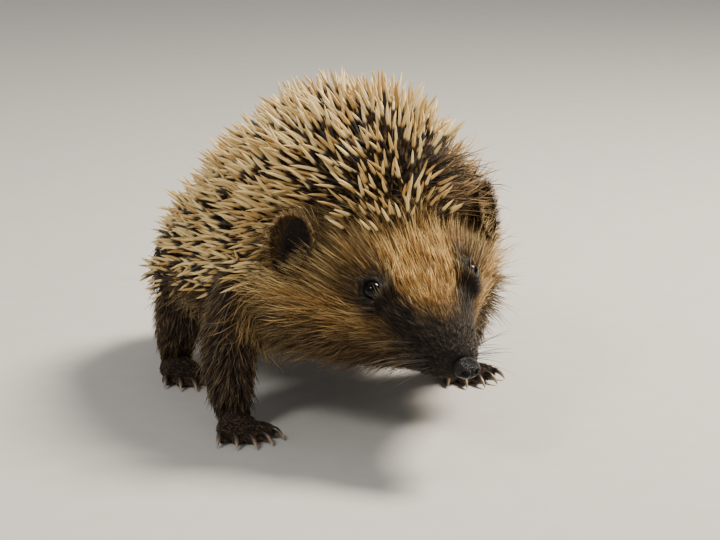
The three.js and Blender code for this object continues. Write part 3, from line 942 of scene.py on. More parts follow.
def tuft_mesh(name, coat, roots, lines, leaders):
    """Closed, tapering three-sided tufts along the lines, as one mesh."""
    rng, (count, stops) = roots.rng, lines.shape[:2]
    ahead = unit(np.gradient(lines, axis=1))
    normal = np.repeat(unit(roots.of(coat.normals))[:, None], stops, axis=1)
    side = unit(np.cross(normal, ahead))
    up = np.cross(ahead, side)
    share = np.linspace(0, 1, stops)
    half = roots.of(coat.width) * rng.uniform(0.65, 1.3, count) / 2
    profile = table([0, 0.4, 0.8, 1], [0.8, 1.0, 0.6, 0], share)[:-1]
    angles = np.radians([210, 330, 90])
    circle = np.cos(angles)[:, None, None, None] * side[None, :, :-1]
    circle = circle + 0.75 * np.sin(angles)[:, None, None, None] * up[None, :, :-1]
    rings = lines[None, :, :-1] + circle * (half[:, None] * profile)[None, :, :, None]
    rings = np.moveaxis(rings, 0, 2).reshape(count, -1, 3)
    points = np.concatenate([rings, lines[:, -1:]], 1)
    each = points.shape[1]
    corners, sizes = [2, 1, 0], [3]
    for ring in range(stops - 2):
        for a in range(3):
            b = (a + 1) % 3
            corners += [3 * ring + a, 3 * ring + b, 3 * ring + 3 + b, 3 * ring + 3 + a]
            sizes.append(4)
    last = 3 * (stops - 2)
    for a in range(3):
        corners += [last + a, last + (a + 1) % 3, each - 1]
        sizes.append(3)
    pattern = np.array(corners)
    full = (pattern[None] + each * np.arange(count)[:, None]).ravel()
    mesh = mesh_of(name, points.reshape(-1, 3), full, np.tile(sizes, count))
    place = np.append(np.repeat(share[:-1], 3), 1.0)
    across = np.append(np.tile([0.0, 1.0, 0.5], stops - 1), 0.5)
    tint = 0.62 * rng.random(count) + 0.38 * rng.random(count)[leaders]
    tint = np.clip(0.5 + 1.4 * (tint - 0.5) + 0.35 * roots.guard, 0, 1)
    strand = np.stack([np.tile(place, (count, 1)), np.tile(tint[:, None], (1, each)),
                       np.tile(rng.random(count)[leaders][:, None], (1, each))], -1)
    store_vectors(mesh, "strand", strand.reshape(-1, 3))
    stray = rng.normal(0, 1, (count, 3)) * (0.13 * roots.of(coat.length))[:, None]
    close, _ = nearest(coat.tree, lines[:, 0] + stray)
    store_vectors(mesh, "marks", np.repeat(coat.marks[close], each, axis=0))
    store_vectors(mesh, "more", np.repeat(roots.of(coat.more), each, axis=0))
    patch = np.stack([across, place], 1)[pattern] - 0.5
    uv = roots.uv[:, None] + PATCH * patch[None]
    store_bake_map(mesh, uv)
    return mesh


# ---------------------------------------------------------------- node trees
class Wire:
    """A value in a node tree. Arithmetic on it adds Math nodes."""

    def __init__(self, graph, socket):
        self.graph, self.socket = graph, socket

    def __add__(self, other):
        return self.graph.math("ADD", self, other)

    def __sub__(self, other):
        return self.graph.math("SUBTRACT", self, other)

    def __mul__(self, other):
        return self.graph.math("MULTIPLY", self, other)

    def __truediv__(self, other):
        return self.graph.math("DIVIDE", self, other)

    def __rsub__(self, other):
        return self.graph.math("SUBTRACT", other, self)

    def __rtruediv__(self, other):
        return self.graph.math("DIVIDE", other, self)

    def __gt__(self, other):
        return self.graph.math("GREATER_THAN", self, other)

    __radd__ = __add__
    __rmul__ = __mul__


class Graph:
    """A node tree that is filled by short calls."""

    def __init__(self, tree):
        self.tree = tree
        tree.nodes.clear()

    def node(self, kind, settings=None, sockets=None):
        made = self.tree.nodes.new(kind)
        for name, value in (settings or {}).items():
            setattr(made, name, value)
        for key, value in (sockets or {}).items():
            if isinstance(value, Wire):
                self.tree.links.new(value.socket, made.inputs[key])
            else:
                made.inputs[key].default_value = value
        return made

    def wire(self, kind, settings=None, sockets=None, out=0):
        return Wire(self, self.node(kind, settings, sockets).outputs[out])

    def math(self, operation, *values):
        return self.wire("ShaderNodeMath", {"operation": operation}, dict(enumerate(values)))

    def step(self, value, low, high):
        """Rises smoothly from 0 at low to 1 at high."""
        sockets = {"Value": value, "From Min": low, "From Max": high}
        return self.wire("ShaderNodeMapRange", {"interpolation_type": "SMOOTHSTEP"}, sockets)

    def mix(self, share, a, b):
        """A colour between two, given as wires or as screen colours."""
        a, b = ((*linear(c), 1) if isinstance(c, str) else c for c in (a, b))
        return self.wire("ShaderNodeMix", {"data_type": "RGBA"}, {0: share, 6: a, 7: b}, out=2)

    def scaled(self, vector, scale):
        return self.wire("ShaderNodeVectorMath", {"operation": "SCALE"}, {0: vector, "Scale": scale})

    def vector(self, x=0.0, y=0.0, z=0.0):
        return self.wire("ShaderNodeCombineXYZ", {}, {0: x, 1: y, 2: z})

    def parts(self, vector):
        """The three numbers of a vector."""
        made = self.node("ShaderNodeSeparateXYZ", {}, {0: vector})
        return [Wire(self, made.outputs[i]) for i in range(3)]

    def sum(self, a, b):
        return self.wire("ShaderNodeVectorMath", {"operation": "ADD"}, {0: a, 1: b})

    def stored(self, name):
        """The three numbers of a mesh's own attribute, for a shader."""
        return self.parts(self.wire("ShaderNodeAttribute", {"attribute_name": name}, out="Vector"))

    def place(self, stretch=(1, 1, 1)):
        """Where a point of the object is, in millimetres, stretched."""
        where = self.wire("ShaderNodeTexCoord", out="Object")
        scale = tuple(s / MM for s in stretch)
        return self.wire("ShaderNodeVectorMath", {"operation": "MULTIPLY"}, {0: where, 1: scale})

    def noise(self, where, size, detail=3.0):
        sockets = {"Vector": where, "Scale": 1 / size, "Detail": detail}
        return self.wire("ShaderNodeTexNoise", {}, sockets)

    def bump(self, height, distance, strength=1.0):
        sockets = {"Height": height, "Distance": distance * MM, "Strength": strength}
        return self.wire("ShaderNodeBump", {}, sockets)


def material(name, recipe, **fixed):
    """A material whose recipe(graph) gives the wires of its shader, with the fixed numbers set on it."""
    made = bpy.data.materials.new(name)
    made.use_nodes = True
    graph = Graph(made.node_tree)
    sockets = {key.replace("_", " ").title(): value for key, value in fixed.items()}
    sockets = {key.replace("Ior", "IOR"): value for key, value in sockets.items()}
    shader = graph.wire("ShaderNodeBsdfPrincipled", {}, {**sockets, **recipe(graph)})
    graph.node("ShaderNodeOutputMaterial", {}, {"Surface": shader})
    return made


# ---------------------------------------------------------------- materials
# The roots are darker partly in the undercoat's own colour and partly as painted shade in the gaps between
# hairs.
HAIR_COLOURS = {  # at the root, the middle and the tip
    "flank": ("271c10", "5e4628", "a98a55"),
    "gold": ("2e1c0d", "a97b3b", "f8da94"),
    "dark": ("0f0b08", "231b14", "6c5d49"),
    "olive": ("2f2414", "8a7043", "c2aa74"),
    "limbs": ("1b1410", "43342a", "8f7a58"),
    "below": ("2c2319", "67563d", "ad986f"),
    # ear: the ears' and the crown's dark brown, also laid as painted shade on fur among the quills and in
    # the ears' hollows.
    "ear": ("120c08", "2b1b12", "65442b"),
}


def marked(graph, stage):
    """The colour of the coat's marks at the root, middle or tip of a hair."""
    colour = (*linear(HAIR_COLOURS["flank"][stage]), 1)
    gold, dark, olive = graph.stored("marks")
    # The third share of more is the ears' and crown's brown, and painted shade among the quills and in the
    # ears' hollows.
    limbs, below, ear = graph.stored("more")
    shares = {"below": below, "limbs": limbs, "gold": gold, "olive": olive, "dark": dark, "ear": ear}
    for name, share in shares.items():
        colour = graph.mix(share, colour, HAIR_COLOURS[name][stage])
    return colour


def hair_recipe(graph):
    along, tint, clump = graph.stored("strand")
    # Dark from the root to near the middle: partly the undercoat's colour, partly painted shade between the
    # hairs.
    colour = graph.mix(graph.step(along, 0.0, 0.38), marked(graph, 0), marked(graph, 1))
    tip = graph.step(along, 0.3 + 0.3 * clump, 0.9) * graph.step(tint, 0.2, 0.8)
    colour = graph.mix(tip, colour, marked(graph, 2))
    shade = 0.2 + 1.45 * tint - 0.14 * clump
    return {"Base Color": graph.scaled(colour, shade), "Roughness": 0.62 - 0.15 * tint}


def quill_recipe(graph):
    along, tint, other = graph.stored("strand")
    cream = graph.mix(tint, "bb914a", "fbe19e")
    base = graph.mix(other, "8f7648", "b9a272")
    dark = graph.mix(tint, "1d130b", "3a2616")
    # Where other was lowered on the upper front quills, the cream starts earlier as a painted highlight from
    # above.
    start = 0.22 + 0.1 * other
    end = 0.52 + 0.15 * other
    colour = graph.mix(graph.step(along - start, -0.04, 0.05), base, dark)
    colour = graph.mix(graph.step(along - end, -0.03, 0.09), colour, cream)
    colour = graph.mix(graph.step(along, 0.93, 1.0) * other, colour, "8a6238")
    speck = graph.noise(graph.place((1, 1, 0.3)), 0.5)
    colour = graph.scaled(colour, 0.86 + 0.28 * speck)
    normal = graph.bump(graph.noise(graph.place(), 0.25), 0.05, 0.3)
    return {"Base Color": colour, "Roughness": 0.34 + 0.16 * speck, "Normal": normal}


def skin_recipe(graph):
    lid, lips, pads = graph.stored("naked")
    streaks = graph.noise(graph.place((1, 0.22, 0.7)), 0.5, 4)
    patches = graph.noise(graph.place(), 3.5)
    colour = graph.mix(graph.step(streaks, 0.35, 0.75), marked(graph, 0), marked(graph, 1))
    colour = graph.mix(0.45, colour, "1d1610")
    colour = graph.mix(pads, colour, graph.mix(patches, "4b3a33", "6b5248"))
    colour = graph.mix(lips, colour, "3b221d")
    # Near black: the eyelids' own dark skin, and painted shade in the ears' hollows.
    colour = graph.mix(lid, colour, "0d0a09")
    height = streaks * 0.7 + graph.noise(graph.place(), 0.35) * 0.5
    normal = graph.bump(height, 0.28, 0.55)
    return {"Base Color": colour, "Roughness": 0.72 - 0.12 * lid + 0.1 * patches, "Normal": normal}


def eye_recipe(graph):
    facing, _, _ = graph.stored("look")
    fleck = graph.noise(graph.place(), 0.35)
    iris = graph.mix(fleck, "0d0704", "1d0f07")
    colour = graph.mix(graph.step(facing, 0.62, 0.72), "080504", iris)
    colour = graph.mix(graph.step(facing, 0.80, 0.84), colour, "010101")
    return {"Base Color": colour, "Roughness": 0.04 + 0.04 * fleck}


def nose_recipe(graph):
    cells = graph.wire("ShaderNodeTexVoronoi", {"feature": "F1"}, {"Vector": graph.place(), "Scale": 2.6})
    patches = graph.noise(graph.place(), 1.2)
    colour = graph.mix(patches, "080605", "1a1412")
    normal = graph.bump(0.9 - cells + 0.4 * graph.noise(graph.place(), 0.8), 0.32, 1.0)
    return {"Base Color": colour, "Roughness": 0.2 + 0.22 * patches, "Normal": normal}


def claw_recipe(graph):
    along, tint, _ = graph.stored("strand")
    colour = graph.mix(graph.step(along, 0.35, 1.0), "2a1d16", "b89d7d")
    streaks = graph.noise(graph.place((1, 1, 0.4)), 0.4)
    normal = graph.bump(streaks, 0.08, 0.4)
    colour = graph.scaled(colour, 0.8 + 0.4 * streaks)
    return {"Base Color": colour, "Roughness": 0.3 + 0.15 * streaks, "Normal": normal}


def whisker_recipe(graph):
    along, tint, _ = graph.stored("strand")
    colour = graph.mix(graph.step(along, 0.3, 1.0), "17110d", graph.mix(tint, "3a2c20", "b59d78"))
    return {"Base Color": colour, "Roughness": 0.38 + 0.1 * tint}


def floor_recipe(graph):
    grain = graph.noise(graph.place(), 9.0, 5)
    colour = graph.mix(grain, "c9c5bd", "d4d0c8")
    return {"Base Color": colour, "Roughness": 0.8 + 0.1 * grain}


# ---------------------------------------------------------------- quills
def template(graph, length, radius):
    """One slightly bent quill, thick in the middle and sharp, with its places along and around stored."""
    stops = {
        "Resolution": 6, "Start": (0, 0, 0), "End": graph.vector(z=length),
        "Middle": graph.vector(length * 0.07, 0.0, length * 0.5),
    }
    bent = graph.wire("GeometryNodeCurveQuadraticBezier", {}, stops)
    share = graph.wire("GeometryNodeSplineParameter")
    line = keep_number(graph, bent, "along", share)
    circle = graph.wire("GeometryNodeCurvePrimitiveCircle", {}, {"Resolution": 5, "Radius": 1.0})
    ring = keep_number(graph, circle, "around", share)
    taper = graph.node("ShaderNodeFloatCurve", {}, {"Value": share})
    points = taper.mapping.curves[0].points
    for place, width in ((0.15, 0.7), (0.6, 1.0), (0.78, 0.86), (0.9, 0.5)):
        points.new(place, width)
    points[0].location = (0, 0.5)
    points[-1].location = (1, 0.04)
    taper.mapping.update()
    width = radius * Wire(graph, taper.outputs[0])
    sockets = {"Curve": line, "Profile Curve": ring, "Scale": width, "Fill Caps": True}
    return graph.wire("GeometryNodeCurveToMesh", {}, sockets)


def keep_number(graph, geometry, name, value, kind="FLOAT", domain="POINT"):
    sockets = {"Geometry": geometry, "Name": name, "Value": value}
    settings = {"data_type": kind, "domain": domain}
    return graph.wire("GeometryNodeStoreNamedAttribute", settings, sockets)


def named(graph, name, kind="FLOAT"):
    return graph.wire("GeometryNodeInputNamedAttribute", {"data_type": kind}, {"Name": name})


def chance(graph, seed, kind="FLOAT", low=0.0, high=1.0):
    """A random number or vector for each point."""
    least, most, out = {"FLOAT": (2, 3, 1), "FLOAT_VECTOR": (0, 1, 0)}[kind]
    sockets = {least: low, most: high, "Seed": seed}
    return graph.wire("FunctionNodeRandomValue", {"data_type": kind}, sockets, out)


def quill_tree(name):
    """Stands quills on one side of the skin, each leaning its own way, as plain mesh."""
    tree = bpy.data.node_groups.new(name, "GeometryNodeTree")
    inputs = {"Skin": "Geometry", "Spacing": "Float", "Length": "Float", "Radius": "Float",
              "Disorder": "Float", "Side": "Float", "Seed": "Int", "Finish": "Material"}
    for label, kind in inputs.items():
        tree.interface.new_socket(label, in_out="INPUT", socket_type="NodeSocket" + kind)
    tree.interface.new_socket("Quills", in_out="OUTPUT", socket_type="NodeSocketGeometry")
    graph = Graph(tree)
    group = graph.node("NodeGroupInput")
    given = {label: Wire(graph, group.outputs[label]) for label in inputs}
    spread = {
        "Mesh": given["Skin"], "Distance Min": given["Spacing"], "Density Max": 1.6e6,
        "Density Factor": named(graph, "quilled"), "Seed": given["Seed"],
    }
    points = graph.wire("GeometryNodeDistributePointsOnFaces", {"distribute_method": "POISSON"}, spread)
    points = keep_number(graph, points, "root_uv", named(graph, "OFBake", "FLOAT_VECTOR"), "FLOAT_VECTOR")
    tint = chance(graph, 11, "FLOAT_VECTOR", (0, 0, 0), (1, 1, 1))
    points = keep_number(graph, points, "tint", tint, "FLOAT_VECTOR")
    points = graph.wire("GeometryNodeRemoveAttribute", {}, {"Geometry": points, "Name": "OFBake"})
    x = graph.parts(graph.wire("GeometryNodeInputPosition"))[0]
    sockets = {"Geometry": points, "Selection": (x - BELLY[0] * MM) * given["Side"] > 0}
    points = graph.wire("GeometryNodeSeparateGeometry", {"domain": "POINT"}, sockets)
    wobble = graph.scaled(chance(graph, 12, "FLOAT_VECTOR", (-1, -1, -1), (1, 1, 1)), given["Disorder"])
    direction = graph.sum(named(graph, "quill_lie", "FLOAT_VECTOR"), wobble)
    turned = graph.wire("FunctionNodeAlignRotationToVector", {"axis": "Z"}, {"Vector": direction})
    sockets = {"Axis": (0, 0, 1), "Angle": chance(graph, 13) * math.tau}
    sockets = {"Rotation": turned, "Rotate By": graph.wire("FunctionNodeAxisAngleToRotation", {}, sockets)}
    turned = graph.wire("FunctionNodeRotateRotation", {"rotation_space": "LOCAL"}, sockets)
    size = (0.8 + 0.34 * chance(graph, 14)) * named(graph, "quill_size")
    wide = 0.45 + 0.55 * size
    sockets = {
        "Points": points, "Instance": template(graph, given["Length"], given["Radius"]),
        "Rotation": turned, "Scale": graph.vector(wide, wide, size),
    }
    placed = graph.wire("GeometryNodeInstanceOnPoints", {}, sockets)
    real = graph.wire("GeometryNodeRealizeInstances", {}, {"Geometry": placed})
    along, around = named(graph, "along"), named(graph, "around")
    tint, other, _ = graph.parts(named(graph, "tint", "FLOAT_VECTOR"))
    # The third number is lowered on the upper front quills to lengthen their cream band, a painted highlight
    # from above.
    strand = graph.vector(along, tint, other - 0.65 * named(graph, "front"))
    real = keep_number(graph, real, "strand", strand, "FLOAT_VECTOR")
    patch = graph.vector((around - 0.5) * PATCH, (along - 0.5) * PATCH)
    uv = graph.sum(named(graph, "root_uv", "FLOAT_VECTOR"), patch)
    real = keep_number(graph, real, "OFBake", uv, "FLOAT2", "CORNER")
    real = graph.wire("GeometryNodeSetShadeSmooth", {}, {"Geometry": real})
    real = graph.wire("GeometryNodeSetMaterial", {}, {"Geometry": real, "Material": given["Finish"]})
    graph.node("NodeGroupOutput", {}, {"Quills": real})
    return tree


# What the quills' tree reads or keeps, and the finished quills have no use for.
ONLY_FOR_BUILDING = {
    "marks", "more", "naked", "quill_lie", "quilled", "quill_size", "front",
    "root_uv", "tint", "along", "around",
}


def quill_mesh(tree, skin, **values):
    """The quills of one side, with the modifier's inputs set by name."""
    holder = linked("holder", skin.copy())
    modifier = holder.modifiers.new("quills", "NODES")
    modifier.node_group = tree
    for item in tree.interface.items_tree:
        if item.in_out == "INPUT" and item.name in values:
            modifier[item.identifier] = values[item.name]
    mesh = evaluated(holder)
    bpy.data.objects.remove(holder)
    for name in [layer.name for layer in mesh.attributes if layer.name in ONLY_FOR_BUILDING]:
        mesh.attributes.remove(mesh.attributes[name])
    return mesh


# ---------------------------------------------------------------- eyes, nose, claws and whiskers
def eye_mesh(side):
    """An eyeball with the clear bulge of its cornea, turned the way it looks."""
    centre, axis, inner, top = eye_frame(side)
    polar = np.linspace(0, math.pi, 42)[1:-1]
    angles = np.linspace(0, 2 * math.pi, 48, endpoint=False)
    rings, facing = [], []
    centre = centre + EYE_RISE * axis
    for p in polar:
        radius = EYE_RADIUS + 0.22 * bell(p, 0.75)
        circle = np.cos(angles)[:, None] * inner + np.sin(angles)[:, None] * top
        ring = np.cos(p) * axis + math.sin(p) * circle
        rings.append(from_head(centre + radius * ring))
        facing += [math.cos(p)] * len(angles)
    front = from_head(centre + (EYE_RADIUS + 0.22) * axis)
    back = from_head(centre - EYE_RADIUS * axis)
    mesh = outwards(grid_mesh("eye", rings, front, back))
    look = np.array(facing + [1.0, -1.0])
    store_vectors(mesh, "look", np.stack([look, look, look], 1))
    return mesh


def nose_mesh():
    """The nose's pad, with two comma nostrils and a groove between its lobes."""
    centre = np.array([0, 2.4, 0.2])

    def place(p, a):
        x = 3.75 * np.sin(p) * np.cos(a)
        z = 3.1 * np.sin(p) * np.sin(a)
        y = -3.2 * np.cos(p)
        front = smoothstep(0.0, 0.6, np.cos(p))
        side = np.abs(x)
        pit = 1.5 * bell(np.hypot((side - 1.75) / 0.72, (z - 0.15) / 0.62), 1)
        slit = 0.9 * bell(np.hypot((side - 2.75) / 0.85, (z + 0.2 + 0.35 * (side - 2.2)) / 0.26), 1)
        groove = 0.4 * bell(x, 0.26) * smoothstep(1.8, 0.2, z)
        rim = 0.25 * bell(np.hypot(side - 1.75, z - 0.15) - 1.15, 0.4)
        y = y + front * (np.maximum(pit, slit) + groove - rim)
        x = x * (1 + 0.06 * bell(z + 0.4, 1.2))
        return np.stack([x, y, z], -1) + centre

    return shell("nose", place, 64, 84)


def strand_marks(mesh, count, around, tint):
    """Stores how far along a tube each of its points is."""
    place = np.concatenate([np.repeat(np.linspace(0, 1, count), around), [0.0, 1.0]])
    flat = np.full(len(place), tint)
    store_vectors(mesh, "strand", np.stack([place, flat, flat], 1))
    return mesh


CLAW_RINGS, CLAW_SIDES = 16, 14


def claws_mesh(name):
    """A paw's five claws, curved down to the floor."""
    made = []
    for i, (root, ahead, size) in enumerate(toe_lines(name)):
        toe, claw = size["toe"], size["claw"] * (1 - 0.12 * abs(i - 2))
        stops = [
            (toe * 0.72, 2.5, 0.75), (toe + 0.1 * claw, 3.0, 0.95), (toe + 0.5 * claw, 2.6, 0.72),
            (toe + 0.85 * claw, 1.4, 0.4), (toe + claw, 0.45, 0.12),
        ]
        form = tube("claw", along_toe(name, root, ahead, stops), CLAW_RINGS, CLAW_SIDES)
        made.append(strand_marks(form, CLAW_RINGS, CLAW_SIDES, 0.2 * i))
    return joined("claws", made)


WHISKER_RINGS, WHISKER_SIDES = 9, 5


def whisker_mesh(coat, side, seed):
    """Long stiff hairs from one side of the muzzle and over its eye."""
    rng = np.random.default_rng(seed)
    made, places = [], []
    for i in range(24):
        over_eye = i >= 20
        aim = [12, 34, 15] if over_eye else [9, rng.uniform(6, 17), rng.uniform(-4, 2)]
        root = nearest(coat.tree, from_head(mirrored(aim, side) + rng.normal(0, 0.8, 3))[None])[0][0]
        start, normal = coat.skin.points[root], coat.normals[root]
        back = HEAD_AXES @ mirrored([0.25, 1.0, 0.1 if over_eye else -0.35], side)
        out = unit(normal * rng.uniform(0.55, 0.95) + back * rng.uniform(0.5, 0.9))
        length = rng.uniform(8, 13) if over_eye else rng.uniform(9, 19)
        droop = np.array([0, 0, -0.1 * length])
        stops = [start - 0.3 * normal, start + out * length * 0.35, start + out * length * 0.7 + droop * 0.3,
                 start + out * length + droop]
        radii = [0.085, 0.075, 0.05, 0.012]
        line = [(*stop, radius) for stop, radius in zip(stops, radii)]
        hair = tube("whisker", line, WHISKER_RINGS, WHISKER_SIDES)
        made.append(strand_marks(hair, WHISKER_RINGS, WHISKER_SIDES, rng.random()))
        places.append(coat.uv[coat.skin.triangles == root][0])
    mesh = joined("whiskers", made)
    each = WHISKER_RINGS * WHISKER_SIDES + 2
    whisker, point = np.divmod(read(mesh.loops, "vertex_index", 1, np.int32)[:, 0], each)
    patch = np.stack([point % WHISKER_SIDES / WHISKER_SIDES, point / each], 1) - 0.5
    store_bake_map(mesh, np.array(places)[whisker] + PATCH * patch)
    return mesh


# ---------------------------------------------------------------- regions of fur
def fur_regions(coat):
    """Each piece of fur: its slot, its faces, its tufts' segments and its looseness."""
    skin = coat.skin
    centres = skin.points[skin.triangles].mean(1)
    at = to_head(centres)
    areas = (coat.head, coat.leg, coat.paw, coat.ear, coat.tail)
    head, leg, paw, ear, tail = (values[skin.triangles].mean(1) > 0.5 for values in areas)
    other = ~(head | leg | paw | ear | tail)
    below = skin.crosses()[:, 2] < -0.55 * np.linalg.norm(skin.crosses(), axis=1)
    left = centres[:, 0] > 0.0
    fore = centres[:, 1] < 22
    snout = head & (at[:, 1] < 25)
    upper = at[:, 2] > 6 - 0.05 * at[:, 1]
    return {
        "fur_snout": ("face_fur", snout, 2, 0.16),
        "fur_forehead": ("face_fur", head & ~snout & upper, 3, 0.1),
        "fur_cheek_left": ("face_fur", head & ~snout & ~upper & (at[:, 0] > 0), 3, 0.15),
        "fur_cheek_right": ("face_fur", head & ~snout & ~upper & (at[:, 0] <= 0), 3, 0.15),
        "fur_flank_left": ("flank_fur", other & ~below & left, 4, 0.3),
        "fur_flank_right": ("flank_fur", other & ~below & ~left, 4, 0.3),
        "fur_belly": ("flank_fur", other & below, 4, 0.34),
        "fur_legs_fore": ("leg_fur", leg & fore, 3, 0.24),
        "fur_legs_hind": ("leg_fur", leg & ~fore, 3, 0.24),
        "fur_paws": ("leg_fur", paw, 2, 0.22),
        "fur_ears": ("ear", ear, 2, 0.3),
        "fur_tail": ("leg_fur", tail, 3, 0.2),
    }


# ---------------------------------------------------------------- settings
class HedgehogSkin(bpy.types.PropertyGroup):
    """How deep the skin lies in the coat."""

    mantle_depth: FloatProperty(
        name="Under quills", description="Depth of the skin below the quills' tips",
        default=0.009, min=0.004, max=0.016, unit="LENGTH",
    )
    flank_depth: FloatProperty(
        name="Under fur", description="Depth of the skin below the flank fur's tips",
        default=0.006, min=0.002, max=0.012, unit="LENGTH",
    )


class HedgehogQuills(bpy.types.PropertyGroup):
    """The quills' size, spacing and disorder."""

    length: FloatProperty(
        name="Length", description="Length of a quill", default=0.0155, unit="LENGTH",
    )
    radius: FloatProperty(
        name="Radius", description="Half a quill's thickness", default=0.00059, unit="LENGTH",
    )
    spacing: FloatProperty(
        name="Spacing", description="Least gap between roots", default=0.00168, unit="LENGTH",
    )
    disorder: FloatProperty(
        name="Disorder", description="How far quills stray from their lie, as a share of their length",
        default=0.44, min=0, max=1, subtype="FACTOR",
    )
    seed: IntProperty(name="Seed", description="Seed of the quills' places", default=4, min=0)


class HedgehogFur(bpy.types.PropertyGroup):
    """The fur's thickness."""

    thickness: FloatProperty(
        name="Thickness", description="Number of tufts, as a share of the usual",
        default=1.0, min=0.05, max=1.5,
    )
    seed: IntProperty(name="Seed", description="Seed of the tufts' places", default=21, min=0)


class HedgehogStage(bpy.types.PropertyGroup):
    """The light from all round, the lamps and the camera."""

    world: FloatVectorProperty(
        name="Surroundings", description="Colour of the light from all round",
        default=(0.82, 0.84, 0.88), subtype="COLOR", min=0, max=1,
    )
    key: FloatProperty(
        name="Key light", description="Power of the main light", default=16.0, unit="POWER",
    )
    fill: FloatProperty(
        name="Fill light", description="Power of the second light", default=4.5, unit="POWER",
    )
    camera: FloatVectorProperty(
        name="Camera", description="Place of the camera",
        default=(-0.27215, -0.54697, 0.1941), subtype="TRANSLATION",
    )
    turn: FloatVectorProperty(
        name="Camera turn", description="Rotation of the camera",
        default=(math.radians(76), 0, math.radians(-27)), subtype="EULER",
    )
    lens: FloatProperty(name="Lens", description="Focal length in millimetres", default=100.0)


# ---------------------------------------------------------------- operators
STATE = {}  # the coat, kept from the skin's operator for those that follow


def coat_made():
    if "coat" not in STATE:
        raise RuntimeError("the skin is made first")
    return STATE["coat"]


class HEDGEHOG_OT_skin(bpy.types.Operator):
    """Builds the one skin that stands for all the solids of flesh"""

    bl_idname = "hedgehog.skin"
    bl_label = "Skin"

    def execute(self, context):
        skin, found = skin_mesh(context.scene.hedgehog_skin)
        unwrapped(skin.mesh)
        coat = Coat(skin, found)
        coat.store()
        STATE["coat"] = coat
        finish = material("Hide", skin_recipe, specular_ior_level=0.2)
        piece("skin", skin.mesh, finish, REPLACED)
        return {"FINISHED"}


class HEDGEHOG_OT_quills(bpy.types.Operator):
    """Stands the banded quills on the back, in a left and a right piece"""

    bl_idname = "hedgehog.quills"
    bl_label = "Quills"

    def execute(self, context):
        sizes = context.scene.hedgehog_quills
        skin = coat_made().skin.mesh
        finish = material("Quill", quill_recipe, specular_ior_level=0.5)
        tree = quill_tree("Quills")
        for name, side in SIDES.items():
            mesh = quill_mesh(
                tree, skin, Spacing=sizes.spacing, Length=sizes.length, Radius=sizes.radius,
                Disorder=sizes.disorder, Side=float(side), Seed=sizes.seed, Finish=finish,
            )
            piece("quills_" + name, mesh, None)
        return {"FINISHED"}


class HEDGEHOG_OT_fur(bpy.types.Operator):
    """Grows the fur on the face, flanks, belly, legs, ears and tail"""

    bl_idname = "hedgehog.fur"
    bl_label = "Fur"

    def execute(self, context):
        sizes = context.scene.hedgehog_fur
        coat = coat_made()
        finish = material("Fur", hair_recipe, specular_ior_level=0.3)
        for number, (name, (slot, chosen, segments, looseness)) in enumerate(fur_regions(coat).items()):
            roots = Roots(coat, chosen, sizes.thickness, sizes.seed + number)
            lines, leaders = grown(coat, roots, segments, looseness)
            mesh = tuft_mesh(name, coat, roots, lines, leaders)
            piece(name, mesh, finish)
        return {"FINISHED"}


class HEDGEHOG_OT_eyes(bpy.types.Operator):
    """Builds the two wet dark eyes"""

    bl_idname = "hedgehog.eyes"
    bl_label = "Eyes"

    def execute(self, context):
        finish = material("Eye", eye_recipe, specular_ior_level=0.2)
        for name, side in SIDES.items():
            piece("eyeball_" + name, eye_mesh(side), finish, ["eye_" + name])
        return {"FINISHED"}


class HEDGEHOG_OT_nose(bpy.types.Operator):
    """Builds the moist pad of the nose"""

    bl_idname = "hedgehog.nose"
    bl_label = "Nose"

    def execute(self, context):
        finish = material("Nose", nose_recipe, specular_ior_level=0.3)
        piece("nose_pad", nose_mesh(), finish, ["nose"])
        return {"FINISHED"}


class HEDGEHOG_OT_claws(bpy.types.Operator):
    """Builds five claws on each paw"""

    bl_idname = "hedgehog.claws"
    bl_label = "Claws"

    def execute(self, context):
        finish = material("Claw", claw_recipe, coat_weight=0.3, coat_roughness=0.2)
        for name in PAWS:
            piece("claws_" + name, claws_mesh(name), finish)
        return {"FINISHED"}


class HEDGEHOG_OT_whiskers(bpy.types.Operator):
    """Builds the whiskers of the muzzle and brows"""

    bl_idname = "hedgehog.whiskers"
    bl_label = "Whiskers"

    def execute(self, context):
        finish = material("Whisker", whisker_recipe)
        for number, (name, side) in enumerate(SIDES.items()):
            piece("whiskers_" + name, whisker_mesh(coat_made(), side, 61 + number), finish)
        return {"FINISHED"}


class HEDGEHOG_OT_stage(bpy.types.Operator):
    """Lays the floor and sets the lights and the camera"""

    bl_idname = "hedgehog.stage"
    bl_label = "Stage"

    def execute(self, context):
        sizes, scene = context.scene.hedgehog_stage, context.scene
        corners = np.array([[-9, -9, 0], [9, -9, 0], [9, 9, 0], [-9, 9, 0]]) / MM
        floor = linked("floor", mesh_of("floor", corners, [0, 1, 2, 3], [4]))
        floor.data.materials.append(material("Floor", floor_recipe, specular_ior_level=0.2))
        world = bpy.data.worlds.new("Surroundings")
        world.use_nodes = True
        graph = Graph(world.node_tree)
        light = graph.wire("ShaderNodeBackground", {}, {"Color": (*sizes.world, 1), "Strength": 0.42})
        graph.node("ShaderNodeOutputWorld", {}, {"Surface": light})
        scene.world = world
        add_light("key", (0.48, -0.06, 0.74), 0.3, sizes.key, (1.0, 0.92, 0.8))
        add_light("fill", (-0.75, -0.35, 0.8), 0.3, sizes.fill, (1.0, 0.97, 0.93))
        lens = bpy.data.cameras.new("camera")
        lens.lens, lens.sensor_width, lens.clip_start = sizes.lens, 36.0, 0.01
        camera = linked("camera", lens)
        camera.location, camera.rotation_euler = sizes.camera, sizes.turn
        scene.camera = camera
        return {"FINISHED"}


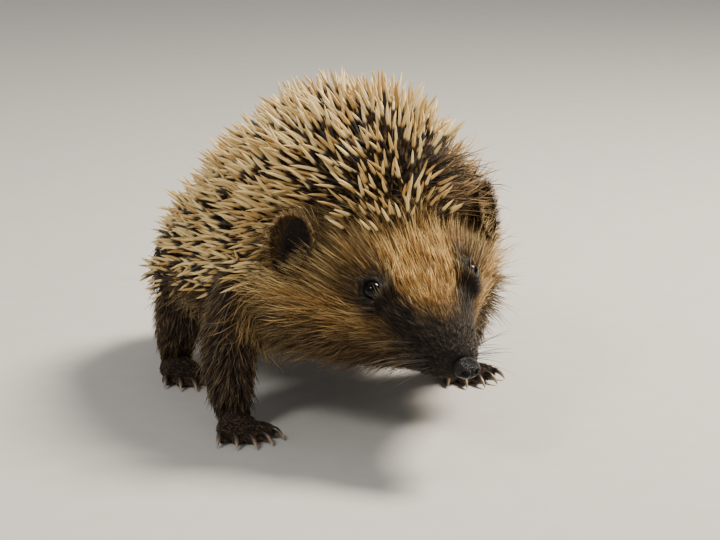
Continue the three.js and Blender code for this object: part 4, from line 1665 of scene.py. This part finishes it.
def add_light(name, place, size, power, colour):
    """An area light that looks at the animal's middle."""
    lamp = bpy.data.lights.new(name, "AREA")
    lamp.shape, lamp.size, lamp.energy, lamp.color = "DISK", size, power, colour
    holder = linked(name, lamp)
    holder.location = place
    aim = Vector((0, -0.02, 0.045)) - holder.location
    holder.rotation_euler = aim.to_track_quat("-Z", "Y").to_euler()


def unwrapped(mesh):
    """Lays the skin's own shape out flat, as the map that its coat shares."""
    holder = linked("holder", mesh)
    bpy.context.view_layer.objects.active = holder
    holder.select_set(True)
    bpy.ops.object.mode_set(mode="EDIT")
    bpy.ops.mesh.select_all(action="SELECT")
    bpy.ops.uv.smart_project(angle_limit=math.radians(66), island_margin=0.002)
    bpy.ops.object.mode_set(mode="OBJECT")
    mesh.uv_layers.active.name = "OFBake"
    bpy.data.objects.remove(holder)


# ---------------------------------------------------------------- panel
STEPS = ("skin", "quills", "fur", "eyes", "nose", "claws", "whiskers", "stage")


class HEDGEHOG_PT_panel(bpy.types.Panel):
    """Settings and steps of the hedgehog"""

    bl_label = "Hedgehog"
    bl_idname = "HEDGEHOG_PT_panel"
    bl_space_type = "VIEW_3D"
    bl_region_type = "UI"
    bl_category = "Hedgehog"

    def draw(self, context):
        for group in GROUPS:
            box = self.layout.box()
            settings = getattr(context.scene, group)
            for name in settings.bl_rna.properties.keys():
                if name not in ("name", "rna_type"):
                    box.prop(settings, name)
        for step in STEPS:
            self.layout.operator("hedgehog." + step)


GROUPS = {
    "hedgehog_skin": HedgehogSkin,
    "hedgehog_quills": HedgehogQuills,
    "hedgehog_fur": HedgehogFur,
    "hedgehog_stage": HedgehogStage,
}
CLASSES = [
    *GROUPS.values(), HEDGEHOG_OT_skin, HEDGEHOG_OT_quills, HEDGEHOG_OT_fur, HEDGEHOG_OT_eyes,
    HEDGEHOG_OT_nose, HEDGEHOG_OT_claws, HEDGEHOG_OT_whiskers, HEDGEHOG_OT_stage, HEDGEHOG_PT_panel,
]


def register():
    for kind in CLASSES:
        bpy.utils.register_class(kind)
    for name, group in GROUPS.items():
        setattr(bpy.types.Scene, name, PointerProperty(type=group))


def unregister():
    for name in GROUPS:
        delattr(bpy.types.Scene, name)
    for kind in reversed(CLASSES):
        bpy.utils.unregister_class(kind)


def main():
    register()
    for step in STEPS:
        getattr(bpy.ops.hedgehog, step)()


if __name__ == "__main__":
    main()
